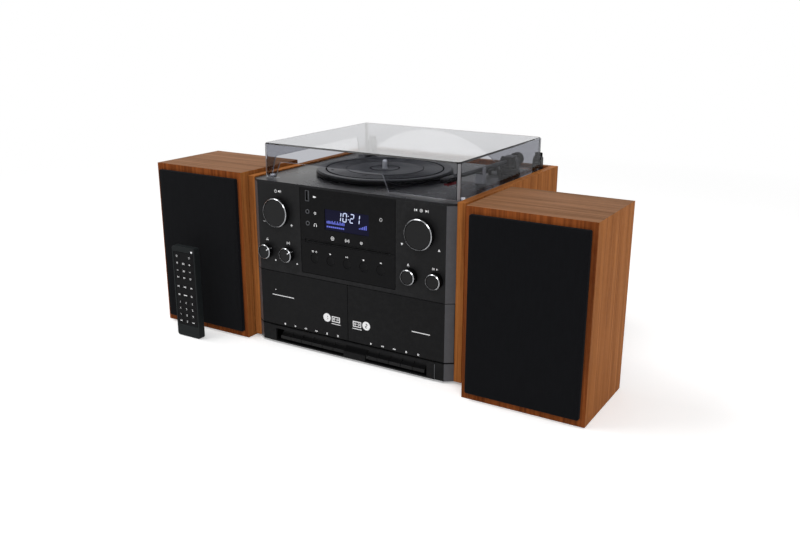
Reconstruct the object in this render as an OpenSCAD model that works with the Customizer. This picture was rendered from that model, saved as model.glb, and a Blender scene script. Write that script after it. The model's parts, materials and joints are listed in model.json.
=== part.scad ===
// Stereo music centre: main unit with a turntable, two loudspeakers and a remote control.
// The origin is on the table under the middle of the main unit.
// +X points to the unit's right as seen from the front, +Y to its rear and +Z up.

/* [Main unit] */
// Width over the wooden sides
unit_w = 340; // [336:1:352]
// Depth from the front face to the wooden back
unit_d = 307; // [304:1:320]
// Height of the wooden sides above the table
unit_h = 238.4; // [238:0.2:242]
// Thickness of the wooden sides
side_t = 11; // [9:0.5:12]
// Thickness of the wooden back
back_t = 10; // [8:0.5:12]
// Distance of the sides' front edge behind the front face
side_setback = 7; // [5:0.5:7]
// Height of a foot
foot_h = 3; // [2:0.5:3]
// Radius of a foot
foot_r = 9; // [6:0.5:12]
// Thickness of the floor plate
floor_t = 2.5; // [1.5:0.25:2.5]

/* [Front panel] */
// Thickness of the black front mouldings
skin_t = 3; // [2.5:0.25:3]
// Width of the bevel at each end of the front
bevel_w = 10.7; // [8:0.1:12]
// Depth of that bevel
bevel_d = 7.4; // [6:0.1:8]
// Height of the top edge of the key strip
strip_top = 27; // [26:0.1:27]
// Height of the bottom edge of the doors
door_z = 28.8; // [28.8:0.1:29.4]
// Height of the top edge of the doors
door_top = 107.9; // [106:0.1:108]
// Height of the bottom edge of the upper panel
panel_z = 108.7; // [108.6:0.1:110]
// Width of the gloss centre panel
fascia_w = 149.8; // [146:0.1:152]
// Height of the bottom edge of the gloss centre panel
fascia_z = 115; // [113:0.5:118]
// Gap round the gloss centre panel
fascia_gap = 0.7; // [0.4:0.1:1]

/* [Controls] */
// Radius of the volume and tuning knobs
knob_r = 20; // [17:0.1:20.5]
// Radius of the bass and treble knobs
small_knob_r = 10.2; // [8:0.1:11]
// How far the knobs and the two round buttons stand out of the panel
knob_out = 9.5; // [8:0.1:12]
// Place of the volume and tuning knobs between the gloss panel and the side, as a share
knob_share = 0.4507; // [0.43:0.01:0.47]
// Height of the volume and tuning knobs
knob_z = 194.5; // [190:0.1:200]
// Height of the four lower controls
low_z = 136.8; // [134:0.1:140]
// Place of the inner lower controls between the gloss panel and the side, as a share
inner_share = 0.27; // [0.25:0.01:0.29]
// Place of the outer lower controls between the gloss panel and the side, as a share
outer_share = 0.7075; // [0.69:0.01:0.72]
// Radius of a control shaft
shaft_r = 3; // [2:0.1:3.2]
// Push travel of the volume and tuning knobs
knob_push = 0.8; // [0.4:0.1:1]
// Push travel of the two round buttons
button_push = 1.5; // [0.8:0.1:1.6]
// Radius of a function button
dimple_r = 6.2; // [5:0.1:7]
// Distance between the function buttons
dimple_pitch = 26.5; // [24:0.1:28]
// Height of the function buttons
dimple_z = 137; // [134:0.5:140]

/* [Display, slot and sockets] */
// Width of the display opening
display_w = 70; // [64:0.5:74]
// Height of the display opening
display_h = 28.5; // [24:0.5:30]
// Height of the middle of the display
display_z = 193.8; // [192:0.1:196]
// Width of the disc slot
slot_w = 136.8; // [126:0.2:138]
// Height of the disc slot's gap
slot_gap = 5.2; // [4.6:0.1:6]
// Height of the middle of the disc slot
slot_z = 161; // [159:0.5:162]
// Distance of the front sockets left of the middle
socket_x = 63.3; // [60:0.1:64]
// Radius of a plug hole in the two round sockets
jack_r = 1.8; // [1.75:0.05:1.8]
// Depth of that hole
jack_depth = 12; // [10:0.5:14]

/* [Cassette decks] */
// Width of a cassette
tape_w = 100.4; // [100:0.1:101]
// Height of a cassette
tape_h = 63.8; // [63:0.1:64]
// Distance between a cassette's two hubs
hub_pitch = 42.5; // [42:0.1:43]
// Height of the doors' pivots
door_pivot_z = 40; // [39:0.5:41]
// Distance of the doors' pivots behind the front face
door_pivot_in = 6; // [6:0.1:6.2]
// Radius of a door pin
door_pin_r = 1.5; // [1.2:0.1:1.6]
// Distance between the cassette keys
key_pitch = 18.3; // [17.5:0.1:18.6]
// Gap between two cassette keys
key_gap = 0.5; // [0.4:0.1:0.8]
// Distance of the key axle behind the front face
key_axle_in = 47.5; // [44:0.5:50]
// Height of the key axle
key_axle_z = 13; // [12:0.5:14]

/* [Turntable] */
// Height of the deck's surface
deck_z = 236.4; // [236:0.1:237]
// Thickness of the deck
deck_t = 3; // [2.5:0.1:3]
// Radius of the platter
platter_r = 98; // [92:0.5:100]
// Height of the platter
platter_h = 5.4; // [5:0.1:6]
// Distance of the spindle left of the middle
spindle_in = 24; // [22:0.5:28]
// Distance of the spindle in front of the middle
spindle_fwd = 20; // [16:0.5:24]
// Diameter of the record spindle
spindle_d = 7.1; // [7:0.05:7.2]
// Distance of the arm pivot from the unit's right side
pivot_in = 40; // [38:0.5:42]
// Distance of the arm pivot behind the middle
pivot_y = 66; // [60:0.5:70]
// Length of the arm from its pivot to the stylus
arm_len = 166; // [160:0.5:168]
// Angle of the parked arm to the unit's right side
arm_park = 3.1; // [2:0.1:5]
// Height of the arm's axis above the deck
arm_rise = 18.6; // [17.6:0.1:19.6]

/* [Dust cover] */
// Distance of the cover's left edge inside the unit's left side
cover_left_in = 23; // [22:0.5:26]
// Distance of the cover's right edge inside the unit's right side
cover_right_in = 12.4; // [12:0.1:13]
// Distance of the cover's front behind the unit's front
cover_front_in = 14.5; // [12:0.5:18]
// Distance of the cover's rear in front of the unit's rear
cover_rear_in = 36.5; // [36:0.1:37]
// Clear height from the arm's axis to the cover's top
cover_room = 30.1; // [28:0.1:35]
// Wall of the cover
cover_t = 2.2; // [2:0.1:2.6]
// Corner radius of the cover
cover_r = 6; // [4:0.5:8]
// Distance of the cover's hinge line behind the cover
hinge_out = 6.5; // [6:0.1:7.5]
// Height of the cover's hinge line above the deck
hinge_rise = 14.6; // [13:0.1:16]

/* [Loudspeakers] */
// Width of a cabinet
sp_w = 159.8; // [150:0.2:170]
// Depth of a cabinet
sp_d = 129; // [120:1:140]
// Height of a cabinet
sp_h = 243.5; // [230:0.5:250]
// Thickness of a cabinet's boards
sp_t = 9; // [7:0.5:12]
// Width of a grille
grille_w = 146.5; // [138:0.5:148]
// Height of a grille
grille_h = 225; // [215:0.5:228]
// How far a grille stands out
grille_out = 5; // [4:0.5:7]
// Gap between the main unit and the left cabinet
left_gap = 2.2; // [1:0.1:20]
// Gap between the main unit and the right cabinet
right_gap = 15.9; // [1:0.1:30]
// How far the left cabinet stands in front of the main unit
left_fwd = 6.5; // [0:0.5:20]
// How far the right cabinet stands in front of the main unit
right_fwd = 23.2; // [0:0.2:30]

/* [Remote control] */
// Width of the remote control
rc_w = 43.5; // [40:0.5:48]
// Height of the remote control as it stands
rc_h = 136; // [132:0.5:150]
// Thickness of the remote control
rc_t = 11; // [10:0.5:16]
// Left edge of the remote control, left of the main unit's middle
rc_x = 271; // [262:1:290]
// How far its front stands in front of the main unit
rc_fwd = 50; // [46:1:80]

/* [Hidden] */
$fn = 64;

// Clearance of a turning pin in its bore, and of a sliding piece in its hole
pin_gap = 0.05;
slide_gap = 0.4;

black = [0.13, 0.13, 0.135];
gloss = [0.07, 0.07, 0.075];
grey = [0.33, 0.33, 0.34];
walnut = [0.55, 0.32, 0.17];
steel = [0.7, 0.7, 0.72];

half_w = unit_w / 2;
inner_w = half_w - side_t;
front_y = -unit_d / 2;
back_y = unit_d / 2;
floor_z = foot_h + floor_t;
panel_top = deck_z - deck_t;
skin_y = front_y + skin_t;
wall_t = 2;
board_t = 1.6;
board_y = front_y + 12.5;
bulk_y = front_y + 19;
mech_y = bulk_y + 3;
fascia_half = fascia_w / 2;
field_w = inner_w - fascia_half;
knob_x = fascia_half + field_w * knob_share;
inner_x = fascia_half + field_w * inner_share;
outer_x = fascia_half + field_w * outer_share;
bay_x = inner_w / 2;
cover_front = -front_y - cover_front_in;
cover_rear = back_y - cover_rear_in;
hinge_y = cover_rear + hinge_out;
hinge_z = deck_z + hinge_rise;
arm_z = deck_z + arm_rise;
cover_top = arm_z + cover_room;
band_half = inner_w - 23.4;
socket_half = 72;
socket_zs = [28, 62];
display_half = display_w / 2;
window_half = max(slot_w / 2 + 4, socket_x + 9);
knob_face = front_y - knob_out;
knob_lift = knob_push + slide_gap;
shaft_tip = knob_face + 3.4;
plunge_end = front_y + 8;
jack_zs = [201, 184.9];
usb_z = 222.4;
usb_w = 4.8;
usb_h = 12.6;
usb_wall = 1;
pivot_front = front_y + door_pivot_in;
holder_back = bulk_y - 2;
hub_r = 4.4;
hub_z = door_pivot_z - 4 + 34.8;
key_axle_y = front_y + key_axle_in;
key_axle_r = 2;
key_top = 20.5;
key_low = 8;
scoop_r = 9;
trough_end = 7.5;
key1_x = [for (i = [0:5]) 62.6 - bay_x - (5 - i) * key_pitch];
key2_x = [for (i = [0:4]) bay_x - 42.3 + i * key_pitch];
strip_low = 4.5;
spindle_x = -spindle_in;
spindle_y = -spindle_fwd;
spindle_r = spindle_d / 2;
boss_r = spindle_r + 1;
platter_z = deck_z + 0.8;
mat_z = platter_z + platter_h;
mat_t = 1.1;
spindle_top = mat_z + mat_t + 12;
deck_back = cover_rear - 0.5;
ledge_z = deck_z - 16;
pulley_r = 5;
pulley_dist = platter_r - 12;
pulley_x = spindle_x - pulley_dist * cos(20);
pulley_y = spindle_y - pulley_dist * sin(20);
arm_r = 3.4;
pivot_x = half_w - pivot_in;
switch_x = half_w - 62;
switch_y = cover_rear - 19.5;
turret_z = deck_z + 7;
cue_z = deck_z + 5;
cue_pin_r = 1.5;
cover_z = deck_z + 1.6;
cover_left = half_w - cover_left_in;
cover_right = half_w - cover_right_in;
hinge_r = 2;
hinge_mid = cover_right - 8;
left_x = -half_w - left_gap - sp_w / 2;
right_x = half_w + right_gap + sp_w / 2;
left_front = front_y - left_fwd;
right_front = front_y - right_fwd;
woofer_z = 88;
tweeter_z = 186;
rc_front = front_y - rc_fwd;
rc_mid = -rc_x + rc_w / 2;

// A box from its limits along each axis
module block(x, y, z) {
    translate([x[0], y[0], z[0]]) cube([x[1] - x[0], y[1] - y[0], z[1] - z[0]]);
}

// Round bars along each axis
module rod_x(x, y, z, r) {
    translate([x[0], y, z]) rotate([0, 90, 0]) cylinder(h = x[1] - x[0], r = r);
}

module rod_y(x, y, z, r) {
    translate([x, y[0], z]) rotate([-90, 0, 0]) cylinder(h = y[1] - y[0], r = r);
}

module rod_z(x, y, z, r) {
    translate([x, y, z[0]]) cylinder(h = z[1] - z[0], r = r);
}

// Upright box with round corners in plan
module round_block(x, y, z, r) {
    block([x[0] + r, x[1] - r], y, z);
    block(x, [y[0] + r, y[1] - r], z);
    for (px = [x[0] + r, x[1] - r], py = [y[0] + r, y[1] - r]) rod_z(px, py, z, r);
}

// Plate facing the front with round corners
module round_plate(x, y, z, r) {
    block([x[0] + r, x[1] - r], y, z);
    block(x, y, [z[0] + r, z[1] - r]);
    for (px = [x[0] + r, x[1] - r], pz = [z[0] + r, z[1] - r]) rod_y(px, y, pz, r);
}

// Front moulding between two heights that follows the bevelled ends, set in from both ends
module front_skin(z, trim) {
    end_x = inner_w - trim;
    flat_x = inner_w - bevel_w;
    end_y = front_y + bevel_d * (1 - trim / bevel_w);
    translate([0, 0, z[0]]) linear_extrude(z[1] - z[0]) polygon([
        [-end_x, end_y], [-flat_x, front_y], [flat_x, front_y], [end_x, end_y],
        [end_x, end_y + skin_t], [flat_x, skin_y], [-flat_x, skin_y], [-end_x, end_y + skin_t]
    ]);
}

// One wooden side, on the left or right
module side_panel(side) {
    x = side < 0 ? [-half_w, -inner_w] : [inner_w, half_w];
    color(walnut) block(x, [front_y + side_setback, back_y], [foot_h, unit_h]);
}

module left_side_panel() side_panel(-1);

module right_side_panel() side_panel(1);

module back_panel() {
    color(walnut) difference() {
        block([-inner_w, inner_w], [back_y - back_t, back_y], [foot_h, unit_h]);
        block([-socket_half, socket_half], [back_y - back_t - 1, back_y + 1], socket_zs);
        for (i = [0:7]) block([-60 + i * 16, -54 + i * 16], [back_y - back_t - 1, back_y + 1], [120, 170]);
    }
}

module base_plate() {
    color(black) difference() {
        block([-inner_w, inner_w], [bulk_y, back_y - back_t], [foot_h, floor_z]);
        for (i = [0:9]) block([-60 + i * 13, -55 + i * 13], [40, 100], [foot_h - 1, floor_z + 1]);
    }
}

module feet() {
    color(black) {
        rod_z(0, 0, [0, foot_h], foot_r);
        for (x = [30 - half_w, half_w - 30], y = [front_y + 35.5, back_y - 31.5]) {
            rod_z(x, y, [0, foot_h], foot_r);
        }
    }
}

module key_windows(y, z) {
    block([key1_x[0] - key_pitch / 2 - 0.2, key1_x[5] + key_pitch / 2 + 0.2], y, z);
    block([key2_x[0] - key_pitch / 2 - 0.2, key2_x[4] + key_pitch / 2 + 0.2], y, z);
}

// The same windows, widened at the outer ends for the fingers
module trough_windows(y, z) {
    block([key1_x[0] - key_pitch / 2 - trough_end, key1_x[5] + key_pitch / 2 + 0.2], y, z);
    block([key2_x[0] - key_pitch / 2 - 0.2, key2_x[4] + key_pitch / 2 + trough_end / 2], y, z);
}

// Hollow along the faces of the keys and of the wall between them
module key_scoop(x) {
    intersection() {
        rod_x(x, front_y - 1.2, key_top + 1, scoop_r);
        block(x, [front_y - 2, front_y + 12], [strip_low, key_top + 2]);
    }
}

module front_panel() {
    holes = [front_y - 1, board_y];
    color(black) {
        difference() {
            union() {
                front_skin([panel_z, panel_top], 0);
                block([-fascia_half - 4, fascia_half + 4], [skin_y, skin_y + wall_t],
                    [panel_z + 2, panel_top]);
                for (x = [fascia_half + 9.1, inner_w - 11], z = [fascia_z + 1, panel_top - 7.4]) {
                    for (s = [-1, 1]) rod_y(s * x, [skin_y, board_y], z, 3);
                }
            }
            block([-fascia_half - fascia_gap, fascia_half + fascia_gap], [front_y - 1, skin_y],
                [fascia_z - fascia_gap, panel_top + 1]);
            for (x = [-knob_x, knob_x]) rod_y(x, holes, knob_z, shaft_r + slide_gap);
            for (x = [-inner_x, -outer_x]) rod_y(x, holes, low_z, shaft_r + slide_gap);
            for (x = [inner_x, outer_x]) rod_y(x, holes, low_z, small_knob_r + slide_gap);
            block([-window_half, window_half], holes, [dimple_z - dimple_r - 3, usb_z + 8.5]);
        }
        for (s = [-1, 1]) {
            flange = s < 0 ? [-inner_w, -inner_w + 2.5] : [inner_w - 2.5, inner_w];
            block(flange, [front_y + bevel_d + 0.5, bulk_y], [panel_z, panel_top]);
        }
        difference() {
            union() {
                block([-inner_w, inner_w], [bulk_y, bulk_y + wall_t], [foot_h + floor_t, panel_z + 6]);
                block([-inner_w, inner_w], [front_y + 12, bulk_y], [panel_z, panel_z + 2]);
            }
            for (s = [-1, 1]) block([s * bay_x - 32, s * bay_x + 32], [bulk_y - 1, bulk_y + wall_t + 1],
                [door_pivot_z - 7, door_pivot_z + 44]);
            key_windows([bulk_y - 1, bulk_y + wall_t + 1], [foot_h, key_top + 2]);
        }
        for (s = [-1, 1], t = [-1, 1]) door_bracket(s * bay_x + t * (tape_w / 2 + 7.2));
        difference() {
            union() {
                front_skin([foot_h, strip_top], 0);
                block([-band_half, band_half], [front_y - 0.7, skin_y], [foot_h, strip_top - 0.6]);
                block([bevel_w - inner_w, inner_w - bevel_w], [skin_y - 1, bulk_y], [foot_h, foot_h + 1.2]);
                block([key1_x[5] + key_pitch / 2 + 0.2, key2_x[0] - key_pitch / 2 - 0.2],
                    [skin_y - 1, front_y + 13], [foot_h, strip_top - 1]);
                block([bevel_w - inner_w, inner_w - bevel_w], [skin_y - 1, bulk_y],
                    [strip_top - wall_t, strip_top - 0.5]);
                for (x = [-inner_w, inner_w - 2.5]) {
                    block([x, x + 2.5], [front_y + bevel_d + 0.5, bulk_y], [foot_h, strip_top - 0.5]);
                }
            }
            trough_windows([front_y - 2, bulk_y + 1], [strip_low, key_top + 2]);
            key_scoop([key1_x[5], key2_x[0]]);
            for (s = [-1, 1]) block([s * bay_x - 58, s * bay_x + 58], [skin_y + 1, bulk_y + 1],
                [strip_top - wall_t - 1, strip_top + 1]);
        }
    }
}

// Eye that carries a door pin, on an arm from the wall behind the doors
module door_bracket(x) {
    difference() {
        union() {
            rod_x([x - 1.5, x + 1.5], pivot_front, door_pivot_z, 2.6);
            block([x - 1.5, x + 1.5], [pivot_front, bulk_y], [door_pivot_z - 2.4, door_pivot_z + 2.6]);
        }
        rod_x([x - 2, x + 2], pivot_front, door_pivot_z, door_pin_r + pin_gap);
    }
}

// Gloss panel in two halves that meet at the disc slot
module centre_fascia() {
    cuts = [front_y - 1, skin_y + 1];
    seam = 0.3;
    color(gloss) difference() {
        block([-fascia_half, fascia_half], [front_y, skin_y], [fascia_z, panel_top]);
        block([-display_half, display_half], cuts, [display_z - display_h / 2, display_z + display_h / 2]);
        block([-slot_w / 2, slot_w / 2], cuts, [slot_z - slot_gap / 2, slot_z + slot_gap / 2]);
        block([-fascia_half - 1, fascia_half + 1], cuts, [slot_z - seam / 2, slot_z + seam / 2]);
        for (i = [-2:2]) rod_y(i * dimple_pitch, cuts, dimple_z, dimple_r + slide_gap);
        usb_block(usb_wall + 0.1, cuts);
        for (z = jack_zs) rod_y(-socket_x, cuts, z, 3.5);
    }
}

// Circuit board behind the front, with its display, sockets, switches and control bushes
module control_board() {
    color([0.1, 0.25, 0.15]) difference() {
        union() {
            block([7 - inner_w, inner_w - 7], [board_y, board_y + board_t], [fascia_z - 2, panel_top - 2.4]);
            block([-display_half + 0.3, display_half - 0.3], [front_y + 1.2, board_y],
                [display_z - display_h / 2 + 0.3, display_z + display_h / 2 - 0.3]);
            for (x = [-knob_x, knob_x]) rod_y(x, [skin_y + 1, board_y + 6], knob_z, 7);
            for (x = [-inner_x, -outer_x]) {
                rod_y(x, [skin_y + 1, board_y], low_z, 7);
                rod_y(x, [shaft_tip, skin_y + 1], low_z, shaft_r);
            }
            for (x = [inner_x, outer_x]) block([x - 3, x + 3], [plunge_end + button_push + 0.4, board_y],
                [low_z - 3, low_z + 3]);
            for (i = [-2:2]) block([i * dimple_pitch - 2.5, i * dimple_pitch + 2.5], [front_y + 8.4, board_y],
                [dimple_z - 2.5, dimple_z + 2.5]);
        }
        block([-slot_w / 2 - 9.6, slot_w / 2 + 9.6], [board_y - 1, board_y + 2 * board_t],
            [slot_z - 13, slot_z + 15]);
        for (x = [-knob_x, knob_x]) rod_y(x, [skin_y, board_y + 5], knob_z, shaft_r + pin_gap);
        for (z = jack_zs) rod_y(-socket_x, [board_y - 1, board_y + 2 * board_t], z, 3.5);
    }
    color(steel) difference() {
        usb_block(usb_wall, [front_y + 0.4, board_y - 0.1]);
        usb_block(0, [front_y, board_y]);
    }
    color(black) for (z = jack_zs) difference() {
        rod_y(-socket_x, [front_y + 0.3, board_y + 2], z, 3.4);
        rod_y(-socket_x, [front_y, front_y + 0.3 + jack_depth], z, jack_r);
    }
}

// Block round the USB opening, wider than it by the margin
module usb_block(margin, y) {
    block([-socket_x - usb_w / 2 - margin, -socket_x + usb_w / 2 + margin], y,
        [usb_z - usb_h / 2 - margin, usb_z + usb_h / 2 + margin]);
}

// Push shaft of an encoder
module encoder_shaft(x) {
    color(steel) rod_y(x, [shaft_tip, board_y + 5 - knob_push - slide_gap], knob_z, shaft_r);
}

module volume_shaft() encoder_shaft(-knob_x);

module tuning_shaft() encoder_shaft(knob_x);

// Turned knob with a fine lip round its face
module knob(x, z, r, lift) {
    color(black) translate([x, front_y - lift, z]) rotate([90, 0, 0]) difference() {
        rotate_extrude() polygon([
            [0, 0], [r - 0.8, 0], [r, 0.8], [r, knob_out - lift - 0.8], [r - 0.8, knob_out - lift],
            [r - 1.6, knob_out - lift], [r - 2, knob_out - lift - 0.5], [0, knob_out - lift - 0.5]
        ]);
        translate([0, 0, -1]) cylinder(h = knob_out - lift - 1.9, r = shaft_r + pin_gap);
    }
}

module volume_knob() knob(-knob_x, knob_z, knob_r, knob_lift);

module tuning_knob() knob(knob_x, knob_z, knob_r, knob_lift);

module bass_knob() {
    knob(-outer_x, low_z, small_knob_r, 0.8);
    pointer_rib(-outer_x);
}

module treble_knob() {
    knob(-inner_x, low_z, small_knob_r, 0.8);
    pointer_rib(-inner_x);
}

// Fine rib on the knob's side that marks its setting
module pointer_rib(x) {
    color(steel) translate([x, front_y, low_z]) rotate([0, -30, 0])
        block([small_knob_r - 0.3, small_knob_r + 0.3], [-knob_out + 1, -1.6], [-0.5, 0.5]);
}

// Round button that slides in its hole
module round_button(x) {
    color(black) translate([x, plunge_end, low_z]) rotate([90, 0, 0]) rotate_extrude() polygon([
        [0, 0], [small_knob_r, 0], [small_knob_r, plunge_end - knob_face - 0.8],
        [small_knob_r - 0.8, plunge_end - knob_face], [small_knob_r - 1.6, plunge_end - knob_face],
        [small_knob_r - 2, plunge_end - knob_face - 0.5], [0, plunge_end - knob_face - 0.5]
    ]);
}

module eject_button() round_button(inner_x);

module source_button() round_button(outer_x);

// Function button with a hollowed face, level with the gloss panel
module dimple_button(i) {
    ball_r = 30;
    color(gloss) difference() {
        rod_y(i * dimple_pitch, [front_y + 0.2, front_y + 7.2], dimple_z, dimple_r);
        translate([i * dimple_pitch, front_y + 1 - ball_r, dimple_z]) sphere(r = ball_r);
    }
}

module menu_button() dimple_button(-2);

module previous_button() dimple_button(-1);

module play_button() dimple_button(0);

module stop_button() dimple_button(1);

module next_button() dimple_button(2);

// Cassette door with the pocket that carries the cassette, on two side pins
module tape_door(side) {
    mid = side * bay_x;
    span = side < 0 ? [-inner_w, -0.4] : [0.4, inner_w];
    cheek = tape_w / 2 + 0.6;
    pocket_z = door_pivot_z - 4;
    color(black) {
        intersection() {
            front_skin([door_z, door_top], 0.5);
            block(span, [front_y - 1, front_y + 20], [0, unit_h]);
        }
        for (t = [-1, 1]) {
            x = mid + t * cheek;
            outer = t < 0 ? [x - 2, x] : [x, x + 2];
            lip = t < 0 ? [x - 2, x + 4] : [x - 4, x + 2];
            block(outer, [skin_y, holder_back], [pocket_z - 2, pocket_z + tape_h - 2]);
            block(lip, [holder_back - 1.2, holder_back], [pocket_z, pocket_z + tape_h - 2]);
            block(t < 0 ? [x, x + 12] : [x - 12, x], [skin_y, holder_back], [pocket_z - 2, pocket_z]);
            rod_x(t < 0 ? [x - 8.6, x - 1] : [x + 1, x + 8.6], pivot_front, door_pivot_z, door_pin_r);
        }
    }
}

module deck1_door() tape_door(-1);

module deck2_door() tape_door(1);

module tape_mechanism() {
    axle = [key1_x[0] - key_pitch / 2 - 3, key2_x[4] + key_pitch / 2 + 3];
    middle = (key1_x[5] + key2_x[0]) / 2 - 1.15;
    plate = [min(axle[0], -bay_x - 50), max(axle[1], bay_x + 50)];
    color(grey) {
        difference() {
            union() {
                block(plate, [mech_y, mech_y + wall_t], [strip_top - 1, door_top - 3.9]);
                for (x = [axle[0], middle, axle[1] - 2.5]) {
                    block([x, x + 2.5], [mech_y, key_axle_y + 5], [floor_z, 40]);
                }
                block([-34, 34], [mech_y + wall_t, mech_y + 40], [hub_z - 28.8, hub_z + 21.2]);
                for (s = [-1, 1]) {
                    rod_y(s * bay_x, [mech_y + wall_t, mech_y + 8], hub_z - 14.8, 26);
                    block([s * bay_x - 7, s * bay_x + 7], [mech_y - 9, mech_y],
                        [door_pivot_z - 6, door_pivot_z + 2]);
                    for (t = [-1, 1]) {
                        rod_y(s * bay_x + t * hub_pitch / 2, [mech_y - 15.5, mech_y], hub_z, 1.5);
                    }
                }
            }
            for (x = concat(key1_x, key2_x)) block([x - 6, x + 6], [mech_y - 1, mech_y + 3], [20, 24]);
        }
        rod_x(axle, key_axle_y, key_axle_z, key_axle_r);
    }
}

// Drive hub of a cassette deck, with three splines
module tape_hub(side, place) {
    x = side * bay_x + place * hub_pitch / 2;
    y = [mech_y - 15, mech_y - 0.5];
    color(steel) difference() {
        union() {
            rod_y(x, y, hub_z, hub_r - 1);
            for (a = [90, 210, 330]) translate([x, y[0], hub_z]) rotate([0, a, 0])
                translate([0, 0, -0.6]) cube([hub_r, 9, 1.2]);
            rod_y(x, [mech_y - 3, y[1]], hub_z, hub_r + 2);
        }
        rod_y(x, [y[0] - 1, mech_y], hub_z, 1.5 + pin_gap);
    }
}

module deck1_supply_hub() tape_hub(-1, -1);

module deck1_takeup_hub() tape_hub(-1, 1);

module deck2_supply_hub() tape_hub(1, -1);

module deck2_takeup_hub() tape_hub(1, 1);

// Piano key with a hollowed front, on a lever that rocks on the key axle
module tape_key(x) {
    cap_w = key_pitch - key_gap;
    color(black) {
        difference() {
            block([x - cap_w / 2, x + cap_w / 2], [front_y + 0.3, front_y + 13], [key_low, key_top]);
            rod_x([x - cap_w, x + cap_w], front_y - 1.2, key_top + 1, scoop_r);
        }
        difference() {
            union() {
                block([x - 4, x + 4], [front_y + 13, key_axle_y], [key_axle_z - 3, key_axle_z + 3]);
                rod_x([x - 4, x + 4], key_axle_y, key_axle_z, key_axle_r + 2.4);
            }
            rod_x([x - 5, x + 5], key_axle_y, key_axle_z, key_axle_r + pin_gap);
        }
    }
}

module deck1_record_key() tape_key(key1_x[0]);

module deck1_play_key() tape_key(key1_x[1]);

module deck1_rewind_key() tape_key(key1_x[2]);

module deck1_forward_key() tape_key(key1_x[3]);

module deck1_stop_key() tape_key(key1_x[4]);

module deck1_pause_key() tape_key(key1_x[5]);

module deck2_play_key() tape_key(key2_x[0]);

module deck2_rewind_key() tape_key(key2_x[1]);

module deck2_forward_key() tape_key(key2_x[2]);

module deck2_stop_key() tape_key(key2_x[3]);

module deck2_pause_key() tape_key(key2_x[4]);

// Deck with the platter's bearing, the arm base, the arm rest and the ledge behind the cover
module turntable_deck() {
    end_y = front_y + bevel_d;
    flat_x = inner_w - bevel_w;
    color(grey) difference() {
        union() {
            translate([0, 0, panel_top]) linear_extrude(deck_t) polygon([
                [-inner_w, end_y], [-flat_x, front_y], [flat_x, front_y], [inner_w, end_y],
                [inner_w, deck_back], [-inner_w, deck_back]
            ]);
            block([-inner_w, inner_w], [deck_back - 2.5, deck_back], [ledge_z - 2, panel_top]);
            block([-inner_w, inner_w], [deck_back, back_y - back_t], [ledge_z - 2, ledge_z]);
            rod_z(spindle_x, spindle_y, [panel_top - 24, panel_top], 9);
            rod_z(pivot_x, pivot_y, [panel_top - 16, panel_top], 9);
            rod_z(pivot_x, pivot_y, [deck_z, turret_z - 0.5], 15);
            arm_place() block([-5, 5], [-88, -80], [deck_z - 0.5, arm_z - arm_r - 0.8]);
        }
        rod_z(spindle_x, spindle_y, [panel_top - 25, deck_z + 1], spindle_r + pin_gap);
        rod_z(pivot_x, pivot_y, [panel_top - 17, turret_z], 4 + pin_gap);
        rod_z(pulley_x, pulley_y, [panel_top - 1, deck_z + 1], 3);
        block([switch_x - 8, switch_x + 8], [switch_y - 1.5, switch_y + 1.5], [panel_top - 1, deck_z + 1]);
    }
    color(grey) arm_place() {
        for (x = [-31, -17.4]) block([x, x + 2.4], [-5, 1], [deck_z - 0.5, cue_z + 2]);
        rod_x([-31, -15], -2, cue_z, cue_pin_r);
    }
}

// Puts what follows at the arm pivot, turned to the parked arm
module arm_place() {
    translate([pivot_x, pivot_y, 0]) rotate([0, 0, -arm_park]) children();
}

// Platter with its spindle, a rim and an inner drive ring
module platter() {
    color(grey) translate([spindle_x, spindle_y, platter_z]) difference() {
        union() {
            cylinder(h = platter_h, r = platter_r);
            cylinder(h = platter_h + mat_t, r = boss_r);
            translate([0, 0, -20]) cylinder(h = spindle_top - platter_z + 20, r = spindle_r);
        }
        translate([0, 0, -1]) difference() {
            cylinder(h = platter_h - 0.6, r = platter_r - 3);
            cylinder(h = platter_h, r = platter_r - 22);
        }
        translate([0, 0, -1]) difference() {
            cylinder(h = platter_h - 0.6, r = platter_r - 25);
            cylinder(h = platter_h, r = 14);
        }
    }
}

module platter_mat() {
    color(black) translate([spindle_x, spindle_y, mat_z]) rotate_extrude() polygon([
        [boss_r + 0.3, 0], [platter_r - 3, 0], [platter_r - 3, mat_t], [platter_r - 11, mat_t],
        [platter_r - 11.4, mat_t - 0.4], [55, mat_t - 0.4], [54.6, mat_t], [53.6, mat_t],
        [53.2, mat_t - 0.4], [boss_r + 0.3, mat_t - 0.4]
    ]);
}

module platter_motor() {
    color(steel) difference() {
        union() {
            rod_z(pulley_x, pulley_y, [panel_top - 26, panel_top - 3], 16);
            for (a = [0, 180]) translate([pulley_x, pulley_y, 0]) rotate([0, 0, a])
                rod_z(20, 0, [panel_top - 5, panel_top], 4);
            block([pulley_x - 20, pulley_x + 20], [pulley_y - 4, pulley_y + 4],
                [panel_top - 5, panel_top - 3]);
        }
        rod_z(pulley_x, pulley_y, [panel_top - 20, panel_top], 1 + pin_gap);
    }
}

module drive_pulley() {
    color(steel) translate([pulley_x, pulley_y, 0]) {
        rod_z(0, 0, [panel_top - 18, platter_z + 2.6], 1);
        translate([0, 0, platter_z + 0.2]) rotate_extrude() polygon([
            [0, 0], [pulley_r, 0], [pulley_r, 0.5], [pulley_r - 0.8, 1.2], [pulley_r, 1.9],
            [pulley_r, 2.4], [0, 2.4]
        ]);
    }
}

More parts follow.
